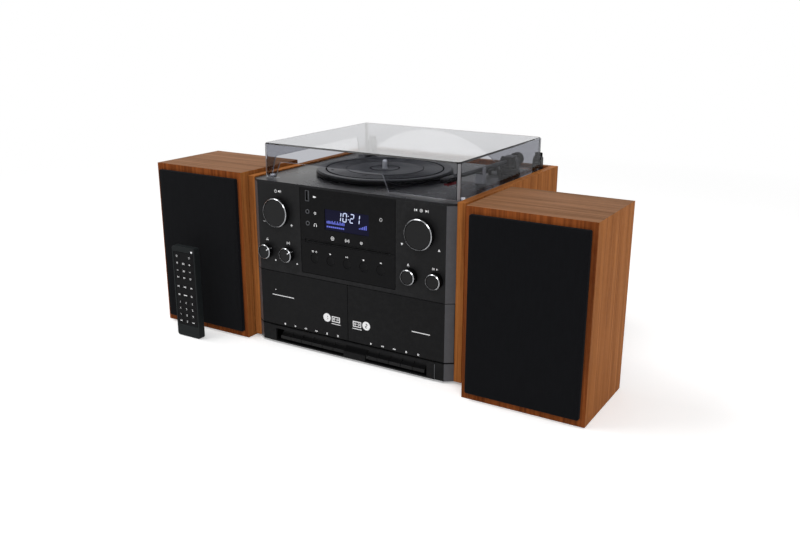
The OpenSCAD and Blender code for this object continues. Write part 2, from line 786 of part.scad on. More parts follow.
// Turret that turns on the deck and carries the arm's cross pin
module arm_pivot() {
    color(grey) arm_place() difference() {
        union() {
            rod_z(0, 0, [panel_top - 14, turret_z], 4);
            rod_z(0, 0, [turret_z, turret_z + 2.5], 14);
            for (s = [-1, 1]) {
                x = s < 0 ? [-12.6, -9.6] : [9.6, 12.6];
                block(x, [-6, 6], [turret_z + 1, arm_z]);
                rod_x(x, 0, arm_z, 6);
            }
        }
        rod_x([-14, 14], 0, arm_z, 1.5 + pin_gap);
    }
}

// Straight arm with its head, counterweight and cross pin
module tonearm() {
    tip = -arm_len;
    color(black) arm_place() {
        rod_y(0, [tip + 14, 24], arm_z, arm_r);
        round_block([-8.6, 8.6], [-13, 13], [arm_z - 5.2, arm_z + 7], 3);
        rod_y(0, [15.6, 27], arm_z + 0.5, 9);
        block([-6.5, 6.5], [tip - 12, tip + 22], [arm_z - 4, arm_z + 2.2]);
        block([6, 12], [tip - 8, tip - 5], [arm_z, arm_z + 1.5]);
        block([-4, 4], [tip - 6, tip + 10], [arm_z - 8.4, arm_z - 3.5]);
        translate([0, tip, arm_z - 10.2]) cylinder(h = 2.2, r1 = 0.3, r2 = 1.2);
        rod_x([-12.2, 12.2], 0, arm_z, 1.5);
    }
}

// Lever that raises the arm, on a cross pin beside the arm base
module cue_lever() {
    color(black) arm_place() difference() {
        union() {
            rod_x([-27.5, -18.5], -2, cue_z, 3);
            block([-24.5, -21.5], [-26, -2], [cue_z - 1.2, cue_z + 1.4]);
            rod_x([-26, -20], -26, cue_z + 0.2, 2.6);
        }
        rod_x([-28, -18], -2, cue_z, cue_pin_r + pin_gap);
    }
}

// Slide knob that picks the platter's speed
module speed_switch() {
    color(black) {
        block([switch_x - 3.5, switch_x + 3.5], [switch_y - 5.5, switch_y + 5.5], [deck_z + 0.4, deck_z + 3]);
        block([switch_x - 1.5, switch_x + 1.5], [switch_y - 1, switch_y + 1], [panel_top - 4, deck_z + 0.6]);
    }
}

module dust_cover() {
    slant = 9.2;
    open_half = 79.5;
    open_share = 0.477707;
    lp_x = [19 - cover_left, spindle_x + open_half];
    lp_y = [15.5 - cover_front, cover_rear - 22];
    lp_z = cover_z + open_share * (cover_top - cover_z);
    arch_half = 112.9686;
    arch_h = cover_top - 4.8 - cover_z;
    arch_r = (arch_half * arch_half + arch_h * arch_h) / (2 * arch_h);
    color([0.45, 0.45, 0.48, 0.45]) {
        difference() {
            round_block([-cover_left, cover_right], [-cover_front, cover_rear],
                [cover_z, cover_top], cover_r);
            round_block([-cover_left + cover_t, cover_right - cover_t],
                [-cover_front + cover_t, cover_rear - cover_t],
                [cover_z - 1, cover_top - cover_t], cover_r - cover_t);
            translate([0, -cover_front + cover_t + 1, 0]) rotate([90, 0, 0])
                finger_cut(lp_x, lp_z, [slant, slant]);
            translate([-cover_left - 1, 0, 0]) rotate([90, 0, 90])
                finger_cut(lp_y, lp_z + 2.5, [slant, slant / 2]);
            rod_y(spindle_x, [cover_rear - cover_t - 1, cover_rear + 1], cover_z + arch_h - arch_r, arch_r);
        }
        for (s = [-1, 1]) difference() {
            union() {
                rod_x([hinge_at(s) - 2.6, hinge_at(s) + 2.6], hinge_y, hinge_z, 4);
                block([hinge_at(s) - 2.6, hinge_at(s) + 2.6], [cover_rear - 0.5, hinge_y],
                    [hinge_z - 4, hinge_z + 4]);
            }
            rod_x([hinge_at(s) - 3, hinge_at(s) + 3], hinge_y, hinge_z, hinge_r + pin_gap);
        }
    }
}

// Opening with slanted ends and rounded upper corners in a wall of the cover
module finger_cut(span, top, slants) {
    steep = 1 + 12 / (top - cover_z);
    linear_extrude(cover_t + 2) offset(4) offset(-4) polygon([
        [span[1] - slants[1], top], [span[0] + slants[0], top],
        [span[0] + slants[0] * (1 - steep), cover_z - 12],
        [span[1] - slants[1] * (1 - steep), cover_z - 12]
    ]);
}

// Middle of the left or right hinge
function hinge_at(side) = side < 0 ? -cover_left + 8 : hinge_mid;

// Two brackets behind the deck, each with a pin between its cheeks
module cover_hinges() {
    color(black) for (s = [-1, 1]) {
        x = hinge_at(s);
        block([x - 6.6, x + 6.6], [cover_rear + 0.6, hinge_y + 6], [ledge_z, deck_z]);
        for (t = [-1, 1]) {
            cheek = t < 0 ? [x - 6.6, x - 3] : [x + 3, x + 6.6];
            block(cheek, [cover_rear + 0.6, hinge_y + 4.5], [deck_z - 1, hinge_z]);
            rod_x(cheek, hinge_y, hinge_z, 4.5);
        }
        rod_x([x - 4, x + 4], hinge_y, hinge_z, hinge_r);
    }
}

// Slot-loading disc drive with an open gap for the disc
module cd_mechanism() {
    color(steel) difference() {
        union() {
            block([-slot_w / 2 - 3, slot_w / 2 + 3], [skin_y + 0.4, board_y + 4], [slot_z - 7, slot_z + 7]);
            block([-slot_w / 2 - 5.6, slot_w / 2 + 5.6], [board_y + 4, board_y + 144],
                [slot_z - 12, slot_z + 14]);
        }
        block([-slot_w / 2, slot_w / 2], [front_y, board_y + 128],
            [slot_z - slot_gap / 2, slot_z + slot_gap / 2]);
    }
}

// Main board on the floor, with its transformer, heat sink and rear sockets
module main_board() {
    board_z = floor_z + 5;
    color([0.1, 0.25, 0.15]) {
        block([60 - half_w, half_w - 50], [-20, back_y - back_t - 3], [board_z, board_z + board_t]);
        for (x = [70 - half_w, half_w - 60], y = [-10, back_y - 33.5]) {
            rod_z(x, y, [floor_z, board_z + 0.5], 3);
        }
        block([70 - half_w, 130 - half_w], [0, 50], [board_z + 1, board_z + 52]);
        for (i = [0:6]) block([20 + i * 9, 23 + i * 9], [20, 60], [board_z + 1, board_z + 46]);
        block([18, 80], [60, 63], [board_z + 1, board_z + 46]);
    }
    color(black) difference() {
        union() {
            block([0.5 - socket_half, socket_half - 0.5], [back_y - back_t - 3, back_y - 4],
                [socket_zs[0] + 0.5, socket_zs[1] - 0.5]);
            block([0.5 - socket_half, socket_half - 0.5], [back_y - back_t - 6, back_y - back_t - 3],
                [board_z + board_t, socket_zs[1] - 0.5]);
            for (x = [-58, -44], z = [38, 52]) rod_y(x, [back_y - 5, back_y - 0.5], z, 4.2);
        }
        for (x = [-58, -44], z = [38, 52]) rod_y(x, [back_y - 12, back_y], z, 1.6);
        for (x = [-18, -4, 10, 24]) block([x, x + 8], [back_y - 10, back_y - 3], [36, 54]);
        rod_y(54, [back_y - 12, back_y], 45, 5.5);
    }
}

// Wooden cabinet with its baffle, driver holes and a recessed terminal cup
module speaker_cabinet(x, y) {
    color(walnut) difference() {
        block([x - sp_w / 2, x + sp_w / 2], [y, y + sp_d], [0, sp_h]);
        block([x - sp_w / 2 + sp_t, x + sp_w / 2 - sp_t], [y + sp_t, y + sp_d - sp_t], [sp_t, sp_h - sp_t]);
        rod_y(x, [y - 1, y + sp_t + 1], woofer_z, 50);
        rod_y(x, [y - 1, y + sp_t + 1], tweeter_z, 22);
        block([x - 25, x + 25], [y + sp_d - 6, y + sp_d + 1], [60, 90]);
        for (px = [-45, 45]) rod_y(x + px, [y + sp_d - sp_t - 1, y + sp_d + 1], 190, 2);
    }
}

// Bass driver and tweeter that fit the holes in the baffle
module speaker_drivers(x, y) {
    color(black) {
        driver(x, y, woofer_z, 49.6, 30, 52);
        driver(x, y, tweeter_z, 21.6, 16, 24);
    }
}

// One driver: a round frame with a dished cone, and its magnet behind
module driver(x, y, z, r, magnet_r, depth) {
    translate([x, y, z]) rotate([-90, 0, 0]) rotate_extrude() polygon([
        [0, r * 0.4], [r * 0.3, r * 0.4], [r * 0.82, 2], [r * 0.9, 1], [r, 1], [r, 4],
        [magnet_r, depth * 0.55], [magnet_r, depth], [0, depth]
    ]);
}

// Frame with stretched cloth, seated on the front of a cabinet
module speaker_grille(x, y) {
    color(black) difference() {
        round_plate([x - grille_w / 2, x + grille_w / 2], [y - grille_out, y],
            [(sp_h - grille_h) / 2, (sp_h + grille_h) / 2], 2);
        block([x - grille_w / 2 + 8, x + grille_w / 2 - 8], [y - grille_out + 1.6, y + 1],
            [(sp_h - grille_h) / 2 + 8, (sp_h + grille_h) / 2 - 8]);
    }
}

module left_speaker_cabinet() speaker_cabinet(left_x, left_front);

module left_speaker_drivers() speaker_drivers(left_x, left_front);

module left_speaker_grille() speaker_grille(left_x, left_front);

module right_speaker_cabinet() speaker_cabinet(right_x, right_front);

module right_speaker_drivers() speaker_drivers(right_x, right_front);

module right_speaker_grille() speaker_grille(right_x, right_front);

module remote_case() {
    color(black) difference() {
        round_plate([rc_mid - rc_w / 2, rc_mid + rc_w / 2], [rc_front, rc_front + rc_t], [0, rc_h], 3.5);
        block([rc_mid - 19, rc_mid + 19], [rc_front - 1, rc_front + 2.4], [18, rc_h - 8]);
        block([rc_mid - 12, rc_mid + 12], [rc_front + 5, rc_front + rc_t - 1.5], [12, 70]);
    }
}

// Rubber keypad: a sheet with raised keys in three columns
module remote_keypad() {
    rows = [0.174, 0.245, 0.316, 0.387, 0.47, 0.562, 0.665, 0.739, 0.82, 0.897];
    color(grey) {
        block([rc_mid - 18.6, rc_mid + 18.6], [rc_front + 0.2, rc_front + 1.4], [18.4, rc_h - 8.4]);
        for (row = rows, c = [-1:1]) if (c != 0 || row < 0.88) {
            block([rc_mid + c * 12 - 4, rc_mid + c * 12 + 4], [rc_front - 0.8, rc_front + 0.4],
                [row * rc_h - 2, row * rc_h + 2]);
        }
    }
}

left_side_panel();
right_side_panel();
back_panel();
base_plate();
feet();
front_panel();
centre_fascia();
control_board();
volume_shaft();
volume_knob();
tuning_shaft();
tuning_knob();
bass_knob();
treble_knob();
eject_button();
source_button();
menu_button();
previous_button();
play_button();
stop_button();
next_button();
deck1_door();
deck2_door();
tape_mechanism();
deck1_supply_hub();
deck1_takeup_hub();
deck2_supply_hub();
deck2_takeup_hub();
deck1_record_key();
deck1_play_key();
deck1_rewind_key();
deck1_forward_key();
deck1_stop_key();
deck1_pause_key();
deck2_play_key();
deck2_rewind_key();
deck2_forward_key();
deck2_stop_key();
deck2_pause_key();
turntable_deck();
platter();
platter_mat();
platter_motor();
drive_pulley();
arm_pivot();
tonearm();
cue_lever();
speed_switch();
dust_cover();
cover_hinges();
cd_mechanism();
main_board();
left_speaker_cabinet();
left_speaker_drivers();
left_speaker_grille();
right_speaker_cabinet();
right_speaker_drivers();
right_speaker_grille();
remote_case();
remote_keypad();
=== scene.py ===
import json
import math

import bmesh
import bpy
from mathutils import Euler, Matrix, Vector


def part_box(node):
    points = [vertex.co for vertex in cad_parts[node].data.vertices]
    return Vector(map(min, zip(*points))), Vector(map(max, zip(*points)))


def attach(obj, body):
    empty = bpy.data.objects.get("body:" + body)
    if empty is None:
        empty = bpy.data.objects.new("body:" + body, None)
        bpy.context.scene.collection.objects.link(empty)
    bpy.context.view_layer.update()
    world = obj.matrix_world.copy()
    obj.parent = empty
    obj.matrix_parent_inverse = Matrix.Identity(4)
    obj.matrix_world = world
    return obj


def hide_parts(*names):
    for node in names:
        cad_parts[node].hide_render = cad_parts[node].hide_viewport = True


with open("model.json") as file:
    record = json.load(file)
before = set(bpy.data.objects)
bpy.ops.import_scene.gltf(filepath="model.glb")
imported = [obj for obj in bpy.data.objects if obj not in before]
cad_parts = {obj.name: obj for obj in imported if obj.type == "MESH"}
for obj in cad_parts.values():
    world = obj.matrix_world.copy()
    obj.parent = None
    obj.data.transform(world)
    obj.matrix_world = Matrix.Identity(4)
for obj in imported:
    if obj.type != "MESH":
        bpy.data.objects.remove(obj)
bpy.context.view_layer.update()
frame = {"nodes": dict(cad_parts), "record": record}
nodes = frame["nodes"]
bodyOf = {n: b for b, group in frame["record"]["behaviour"]["bodies"].items() for n in group}
mm = 0.001

# camera first, at the photograph's angle
cameraSettings = {
    "place": (0.63107, -1.0570, 0.46386),
    "azimuth": 31.27,
    "elevation": 17.21,
    "roll": 0.15,
    "lens": 38.95,
}


def placeCamera(settings):
    az, el, roll = (math.radians(settings[k]) for k in ("azimuth", "elevation", "roll"))
    data = bpy.data.cameras.new("camera")
    data.lens = settings["lens"]
    data.sensor_width = 36
    data.clip_start = 0.01
    camera = bpy.data.objects.new("camera", data)
    bpy.context.scene.collection.objects.link(camera)
    turn = Euler((math.pi / 2 - el, 0, az)).to_matrix().to_4x4() @ Matrix.Rotation(roll, 4, "Z")
    camera.matrix_world = Matrix.Translation(settings["place"]) @ turn
    bpy.context.scene.camera = camera


placeCamera(cameraSettings)


# ---- shader helpers
def tone(*rgb):
    return tuple(((c / 255 + 0.055) / 1.055) ** 2.4 if c > 10 else c / 255 / 12.92 for c in rgb)


def addNode(tree, kind, inputs=None, **settings):
    node = tree.nodes.new("ShaderNode" + kind)
    for key, value in settings.items():
        setattr(node, key, value)
    for key, value in (inputs or {}).items():
        if isinstance(value, bpy.types.NodeSocket):
            tree.links.new(value, node.inputs[key])
        else:
            node.inputs[key].default_value = value
    return node


def addNoise(tree, vector, scale, detail=3, roughness=0.5):
    values = {"Vector": vector, "Scale": scale, "Detail": detail, "Roughness": roughness}
    return addNode(tree, "TexNoise", values).outputs["Fac"]


def addRange(tree, value, fromLow, fromHigh, low, high):
    values = {"Value": value, "From Min": fromLow, "From Max": fromHigh, "To Min": low, "To Max": high}
    return addNode(tree, "MapRange", values).outputs["Result"]


def addMath(tree, operation, first, second):
    return addNode(tree, "Math", {0: first, 1: second}, operation=operation).outputs[0]


def addWeighted(tree, *terms):
    parts = [addMath(tree, "MULTIPLY", value, weight) for value, weight in terms]
    total = parts[0]
    for part in parts[1:]:
        total = addMath(tree, "ADD", total, part)
    return total


def addMix(tree, factor, first, second):
    node = addNode(tree, "Mix", data_type="RGBA")
    for place, value in ((0, factor), (6, first), (7, second)):
        if isinstance(value, bpy.types.NodeSocket):
            tree.links.new(value, node.inputs[place])
        else:
            node.inputs[place].default_value = value if place == 0 else (*value[:3], 1)
    return node.outputs[2]


def stretched(tree, vector, scale, turn=(0, 0, 0)):
    values = {"Vector": vector, "Scale": scale, "Rotation": [math.radians(a) for a in turn]}
    return addNode(tree, "Mapping", values).outputs["Vector"]


def newGroup(name, inputs, outputs):
    tree = bpy.data.node_groups.new(name, "ShaderNodeTree")
    for label, value in inputs.items():
        kind = {4: "Color", 3: "Vector"}[len(value)] if isinstance(value, tuple) else "Float"
        socket = tree.interface.new_socket(label, in_out="INPUT", socket_type="NodeSocket" + kind)
        socket.default_value = value
    for label in outputs:
        kind = "NodeSocketColor" if label == "Color" else "NodeSocketFloat"
        tree.interface.new_socket(label, in_out="OUTPUT", socket_type=kind)
    start = tree.nodes.new("NodeGroupInput").outputs
    end = tree.nodes.new("NodeGroupOutput").inputs
    return tree, start, end


def useGroup(tree, group, inputs):
    return addNode(tree, "Group", inputs, node_tree=group).outputs


def feed(tree, target, sockets):
    for name, socket in sockets.items():
        tree.links.new(socket, target[name])


# ---- shared effects
groupPlace = {"Vector": (0, 0, 0)}


def buildWoodGrain():
    # grain runs along Z of the vector
    colours = {"Light": (1, 1, 1, 1), "Dark": (0, 0, 0, 1), "Pore": (0, 0, 0, 1)}
    tree, start, end = newGroup("woodGrain", {**groupPlace, **colours}, ["Color", "Roughness", "Height"])
    vector = start["Vector"]
    wide = stretched(tree, vector, (1, 1, 0.06))
    figure = addNode(
        tree, "TexWave",
        {"Vector": wide, "Scale": 22, "Distortion": 3.5, "Detail": 2, "Detail Scale": 1.2,
         "Detail Roughness": 0.5},
        bands_direction="DIAGONAL", wave_profile="SAW",
    ).outputs["Fac"]
    streak = addNoise(tree, stretched(tree, vector, (1, 1, 0.014)), 240, 2, 0.5)
    fine = addNoise(tree, stretched(tree, vector, (1, 1, 0.01)), 620, 1, 0.5)
    patch = addNoise(tree, vector, 9, 2, 0.5)
    pores = addNoise(tree, stretched(tree, vector, (1, 1, 0.02)), 820, 1, 0.4)
    body = addWeighted(tree, (figure, 0.12), (streak, 0.72), (fine, 0.22), (patch, 0.16))
    colour = addMix(tree, addRange(tree, body, 0.4, 0.8, 0, 1), start["Dark"], start["Light"])
    poreMask = addRange(tree, pores, 0.56, 0.7, 0, 0.4)
    feed(tree, end, {
        "Color": addMix(tree, poreMask, colour, start["Pore"]),
        "Roughness": addRange(tree, body, 0.4, 0.86, 0.46, 0.34),
        "Height": addWeighted(tree, (body, 1), (poreMask, -0.8)),
    })
    return tree


def buildMouldedSkin():
    sizes = {"Grain": 2600, "Patch": 14}
    tree, start, end = newGroup("mouldedSkin", {**groupPlace, **sizes}, ["Shade", "Cloud", "Height"])
    grain = addNoise(tree, start["Vector"], start["Grain"], 2, 0.6)
    cloud = addNoise(tree, start["Vector"], start["Patch"], 3, 0.55)
    feed(tree, end, {"Shade": addWeighted(tree, (grain, 0.5), (cloud, 0.5)), "Cloud": cloud, "Height": grain})
    return tree


def buildEdgeWearAndHighlight():
    tree, start, end = newGroup("edgeWearAndHighlight", {**groupPlace, "Amount": 1}, ["Mask"])
    # painted highlight and wear: sharp edges, found by pointiness and broken up by noise, make a mask that
    # lightens them
    edge = addNode(tree, "NewGeometry").outputs["Pointiness"]
    raised = addRange(tree, edge, 0.52, 0.6, 0, 1)
    broken = addRange(tree, addNoise(tree, start["Vector"], 160, 4, 0.7), 0.42, 0.66, 0, 1)
    wornAndLitMask = addMath(tree, "MULTIPLY", raised, broken)
    feed(tree, end, {"Mask": addMath(tree, "MULTIPLY", wornAndLitMask, start["Amount"])})
    return tree


def buildClothWeave():
    tree, start, end = newGroup("clothWeave", {**groupPlace, "Threads": 1100}, ["Thread", "Slub"])
    values = {"Vector": start["Vector"], "Scale": start["Threads"], "Distortion": 1.2, "Detail": 1,
              "Detail Scale": 0.6}
    across, upward = (
        addNode(tree, "TexWave", values, bands_direction=d, wave_profile="SIN").outputs["Fac"]
        for d in ("X", "Z")
    )
    slub = addNoise(tree, stretched(tree, start["Vector"], (1, 1, 0.08)), 500, 2, 0.5)
    feed(tree, end, {"Thread": addMath(tree, "MULTIPLY", across, upward), "Slub": slub})
    return tree


def buildSpunMetal():
    # turning marks round an axis, from the distance to it
    tree, start, end = newGroup("spunFace", {**groupPlace, "Middle": (0, 0, 0), "Pitch": 2600}, ["Ring"])
    offset = addNode(tree, "VectorMath", {0: start["Vector"], 1: start["Middle"]}, operation="SUBTRACT")
    length = addNode(tree, "VectorMath", {0: offset.outputs[0]}, operation="LENGTH").outputs["Value"]
    values = {"W": length, "Scale": start["Pitch"], "Detail": 3, "Roughness": 0.6}
    feed(tree, end, {"Ring": addNode(tree, "TexNoise", values, noise_dimensions="1D").outputs["Fac"]})
    return tree


def buildFineDust():
    tree, start, end = newGroup("fineDust", {**groupPlace, "Amount": 1}, ["Speck", "Smear"])
    speck = addRange(tree, addNoise(tree, start["Vector"], 1900, 1, 0.3), 0.7, 0.78, 0, 1)
    smear = addNoise(tree, stretched(tree, start["Vector"], (1, 0.35, 1), (0, 0, 30)), 22, 4, 0.6)
    feed(tree, end, {"Speck": addMath(tree, "MULTIPLY", speck, start["Amount"]), "Smear": smear})
    return tree


woodGrain = buildWoodGrain()
mouldedSkin = buildMouldedSkin()
edgeWearAndHighlight = buildEdgeWearAndHighlight()
clothWeave = buildClothWeave()
spunFace = buildSpunMetal()
fineDust = buildFineDust()


def newMaterial(name, colour, **plain):
    material = bpy.data.materials.new(name)
    material.use_nodes = True
    tree = material.node_tree
    shader = tree.nodes["Principled BSDF"]
    shader.inputs["Base Color"].default_value = (*colour, 1)
    material.diffuse_color = (*colour, 1)
    for key, value in plain.items():
        shader.inputs[socketNames[key]].default_value = value
    place = addNode(tree, "TexCoord").outputs["Object"]
    return material, tree, shader, place


socketNames = {
    "roughness": "Roughness",
    "metallic": "Metallic",
    "specular": "Specular IOR Level",
    "ior": "IOR",
    "transmission": "Transmission Weight",
    "sheen": "Sheen Weight",
    "emission": "Emission Strength",
}


def paint(tree, shader, colour, roughness, height=None, strength=0, distance=0):
    feed(tree, shader.inputs, {"Base Color": colour, "Roughness": roughness})
    if height:
        bump = addNode(tree, "Bump", {"Height": height, "Strength": strength, "Distance": distance * mm})
        feed(tree, shader.inputs, {"Normal": bump.outputs["Normal"]})


def spreadTone(tree, factor, colour, darker, lighter):
    dim, bright = (tuple(min(1, c * k) for c in colour) for k in (darker, lighter))
    return addMix(tree, factor, dim, bright)


def plastic(name, rgb, roughness=0.45, specular=0.3, grain=2600, bump=0.25, spread=0.16, wearAndHighlight=0.3):
    colour = tone(*rgb)
    material, tree, shader, place = newMaterial(name, colour, specular=specular)
    skin = useGroup(tree, mouldedSkin, {"Vector": place, "Grain": grain})
    wornAndLitMask = useGroup(tree, edgeWearAndHighlight, {"Vector": place, "Amount": wearAndHighlight})["Mask"]
    base = spreadTone(tree, skin["Shade"], colour, 1 - spread, 1 + spread)
    # painted highlight and wear: the masked edges lighten toward a paler copy of the colour
    rubbedAndLit = tuple(min(1, c * 1.6 + 0.012) for c in colour)
    gloss = addRange(tree, skin["Cloud"], 0.3, 0.7, roughness * 0.92, roughness * 1.08)
    paint(tree, shader, addMix(tree, wornAndLitMask, base, rubbedAndLit), gloss, skin["Height"], bump, 0.05)
    return material


woodTones = {"light": (175, 111, 58), "dark": (128, 75, 37), "pore": (98, 55, 27)}
# painted sheen: greyer walnut tones for the up and down faces, standing in for the grazing reflection on the
# tops
topSheenTones = {"light": (146, 104, 73), "dark": (104, 71, 47), "pore": (82, 54, 35)}
frontTones = {"light": (150, 82, 40), "dark": (92, 45, 21), "pore": (62, 30, 14)}


def wood(name, turn, tones=woodTones):
    colours = {key: tone(*value) for key, value in tones.items()}
    material, tree, shader, place = newMaterial(name, colours["light"], specular=0.006)
    grain = useGroup(tree, woodGrain, {
        "Vector": stretched(tree, place, (1, 1, 1), turn),
        "Light": (*colours["light"], 1), "Dark": (*colours["dark"], 1), "Pore": (*colours["pore"], 1),
    })
    # painted highlight and wear: the masked edges lighten toward a pale walnut tone
    wornAndLitMask = useGroup(tree, edgeWearAndHighlight, {"Vector": place, "Amount": 0.08})["Mask"]
    base = addMix(tree, wornAndLitMask, grain["Color"], tone(196, 140, 92))
    paint(tree, shader, base, grain["Roughness"], grain["Height"], 0.35, 0.12)
    return material


def metal(name, rgb, roughness=0.25, brush=(1, 1, 1)):
    colour = tone(*rgb)
    material, tree, shader, place = newMaterial(name, colour, metallic=1.0)
    lines = addNoise(tree, stretched(tree, place, brush), 1400, 3, 0.6)
    gloss = addRange(tree, lines, 0.3, 0.7, roughness * 0.75, roughness * 1.3)
    paint(tree, shader, spreadTone(tree, lines, colour, 0.88, 1), gloss, lines, 0.12, 0.02)
    return material


def spun(name, colour, middle, roughness, specular):
    material, tree, shader, place = newMaterial(name, colour, specular=specular)
    ring = useGroup(tree, spunFace, {"Vector": place, "Middle": middle})["Ring"]
    gloss = addRange(tree, ring, 0.3, 0.7, roughness * 0.8, roughness * 1.25)
    paint(tree, shader, spreadTone(tree, ring, colour, 0.75, 1.2), gloss, ring, 0.3, 0.03)
    return material


def glow(name, rgb, strength):
    colour = tone(*rgb)
    material, tree, shader, place = newMaterial(name, tuple(c * 0.2 for c in colour), emission=strength,
                                                roughness=0.5, specular=0.03)
    cells = addNoise(tree, place, 3200, 1, 0.4)
    feed(tree, shader.inputs, {"Emission Color": spreadTone(tree, cells, colour, 0.82, 1)})
    return material


def acrylic(name, rgb, specular, ior, dustAmount, edge=None):
    clear = tone(*rgb)
    material, tree, shader, place = newMaterial(name, clear, transmission=1.0, ior=ior, specular=specular)
    dust = useGroup(tree, fineDust, {"Vector": place, "Amount": dustAmount})
    base = addMix(tree, addRange(tree, dust["Speck"], 0, 1, 0, 0.35), clear, tone(214, 215, 218))
    if edge:
        # painted shade: a bevelled edge's colour darkens to the edge tone where it faces the viewer
        facing = addNode(tree, "LayerWeight").outputs["Facing"]
        base = addMix(tree, addRange(tree, facing, 0.3, 0.8, 0, 1), edge, base)
    paint(tree, shader, base, addRange(tree, dust["Smear"], 0.35, 0.7, 0.012, 0.04))
    # lets lamp light through the cover to the deck
    through = addNode(tree, "BsdfTransparent", {"Color": (*tone(205, 206, 210), 1)})
    shadowRay = addNode(tree, "LightPath").outputs["Is Shadow Ray"]
    mixed = addNode(tree, "MixShader", {0: shadowRay, 1: shader.outputs[0], 2: through.outputs[0]})
    feed(tree, tree.nodes["Material Output"].inputs, {"Surface": mixed.outputs[0]})
    return material


def clothSurface():
    material, tree, shader, place = newMaterial("grilleCloth", tone(17, 18, 20), specular=0.04, sheen=0.03)
    weave = useGroup(tree, clothWeave, {"Vector": place, "Threads": 300})
    dark, light = tone(11, 11, 13), tone(24, 25, 28)
    base = addMix(tree, weave["Thread"], dark, light)
    slubbed = addMix(tree, addRange(tree, weave["Slub"], 0.35, 0.7, 0, 0.35), base, tone(21, 22, 25))
    gloss = addRange(tree, weave["Thread"], 0, 1, 0.95, 0.8)
    paint(tree, shader, slubbed, gloss, weave["Thread"], 0.6, 0.25)
    return material


def boardSurface():
    material, tree, shader, place = newMaterial("circuitBoard", tone(24, 70, 44), specular=0.5)
    values = {"Vector": stretched(tree, place, (1, 1, 1), (90, 0, 0)), "Scale": 110, "Mortar Size": 0.03}
    tracks = addNode(tree, "TexBrick", values, offset=0.35).outputs["Fac"]
    base = addMix(tree, tracks, tone(22, 66, 42), tone(52, 104, 66))
    paint(tree, shader, base, addRange(tree, tracks, 0, 1, 0.42, 0.3), tracks, 0.3, 0.05)
    return material


walnutUpright = wood("walnutUpright", (0, 0, 0))
walnutAcrossSheen = wood("walnutAcrossSheen", (0, 90, 0), topSheenTones)
walnutDeep = wood("walnutDeep", (90, 0, 0))
walnutFront = wood("walnutFront", (0, 0, 0), frontTones)
blackSatin = plastic("blackSatin", (20, 20, 21), 0.38, 0.07)
bevelSatin = plastic("bevelSatin", (76, 77, 81), 0.32, 0.2)
panelSatin = plastic("panelSatin", (29, 29, 30), 0.38, 0.08)
glossBlack = plastic("glossBlack", (19, 19, 20), 0.14, 0.05, grain=500, bump=0.03, wearAndHighlight=0.1)
deckPlastic = plastic("deckPlastic", (22, 22, 24), 0.28, 0.14)
# black knob plastic, darkened to near black as painted shade on the knobs' sides
knobBlackShaded = plastic("knobBlackShaded", (11, 11, 12), 0.4, 0.08)
keyPlastic = plastic("keyPlastic", (21, 21, 22), 0.32, 0.14)
rubberMat = plastic("rubberMat", (46, 47, 50), 0.38, 0.34, grain=1700, bump=0.5)
# near black, painted as shade in the mat's grooves
grooveShade = plastic("grooveShade", (8, 8, 9), 0.8, 0.02, wearAndHighlight=0)
softRubber = plastic("softRubber", (24, 24, 25), 0.7, 0.06, grain=1900, bump=0.4)
remotePlastic = plastic("remotePlastic", (27, 30, 31), 0.45, 0.07)
slotFelt = plastic("slotFelt", (24, 24, 25), 0.8, 0.03, grain=1500, bump=0.6)
tongueGrey = plastic("tongueGrey", (70, 71, 74), 0.5, 0.2)
whitePrint = plastic("whitePrint", (247, 247, 248), 0.55, 0.3, 3000, 0.05, 0.04, 0)
# dark print, also used as painted shade in the mat's recesses
darkPrintAndShade = plastic("darkPrintAndShade", (18, 18, 19), 0.5, 0.25, wearAndHighlight=0)
redPlastic = plastic("redPlastic", (158, 22, 34), 0.35, 0.45)
clearSoft = plastic("clearSoft", (246, 247, 250), 0.2, 0.8, bump=0.05, spread=0.03)
chrome = metal("chromeRing", (176, 177, 180), 0.16)
brushedSteel = metal("brushedSteel", (186, 187, 190), 0.3, brush=(0.05, 1, 1))
satinSteel = metal("satinSteel", (226, 227, 230), 0.42)
sheetSteel = metal("sheetSteel", (150, 152, 155), 0.42)
armSatin = plastic("armSatin", (33, 34, 36), 0.3, 0.4)
darkMetal = metal("darkMetal", (84, 85, 88), 0.5)
brassGold = metal("brassGold", (202, 164, 92), 0.25)
coneBlack = plastic("coneBlack", (26, 26, 27), 0.75, 0.2, grain=900, bump=0.6)
smokedAcrylic = acrylic("smokedAcrylic", (186, 187, 192), 0.3, 1.1, 0.06)
glossyAcrylic = acrylic("glossyAcrylic", (196, 197, 201), 0.95, 1.46, 0.08)
# painted shade on the cover's bevelled edges and rounded corners, darker where they face the viewer
acrylicEdgeShade = acrylic("acrylicEdgeShade", (196, 197, 201), 0.5, 1.2, 0.06, tone(20, 20, 22))
acrylicCut = plastic("acrylicCut", (128, 129, 133), 0.2, 0.6, bump=0.05)
grilleCloth = clothSurface()
circuitBoard = boardSurface()
displayBack = glow("displayBack", (28, 28, 50), 0.7)
displayDigit = glow("displayDigit", (212, 222, 255), 1.0)
displayBar = glow("displayBar", (104, 114, 214), 1.0)
platterMetal = plastic("platterDisc", (14, 14, 16), 0.3, 0.05, grain=900, bump=0.1)
restGrey = plastic("restGrey", (150, 151, 154), 0.5, 0.4)
print("materials:", len(bpy.data.materials))


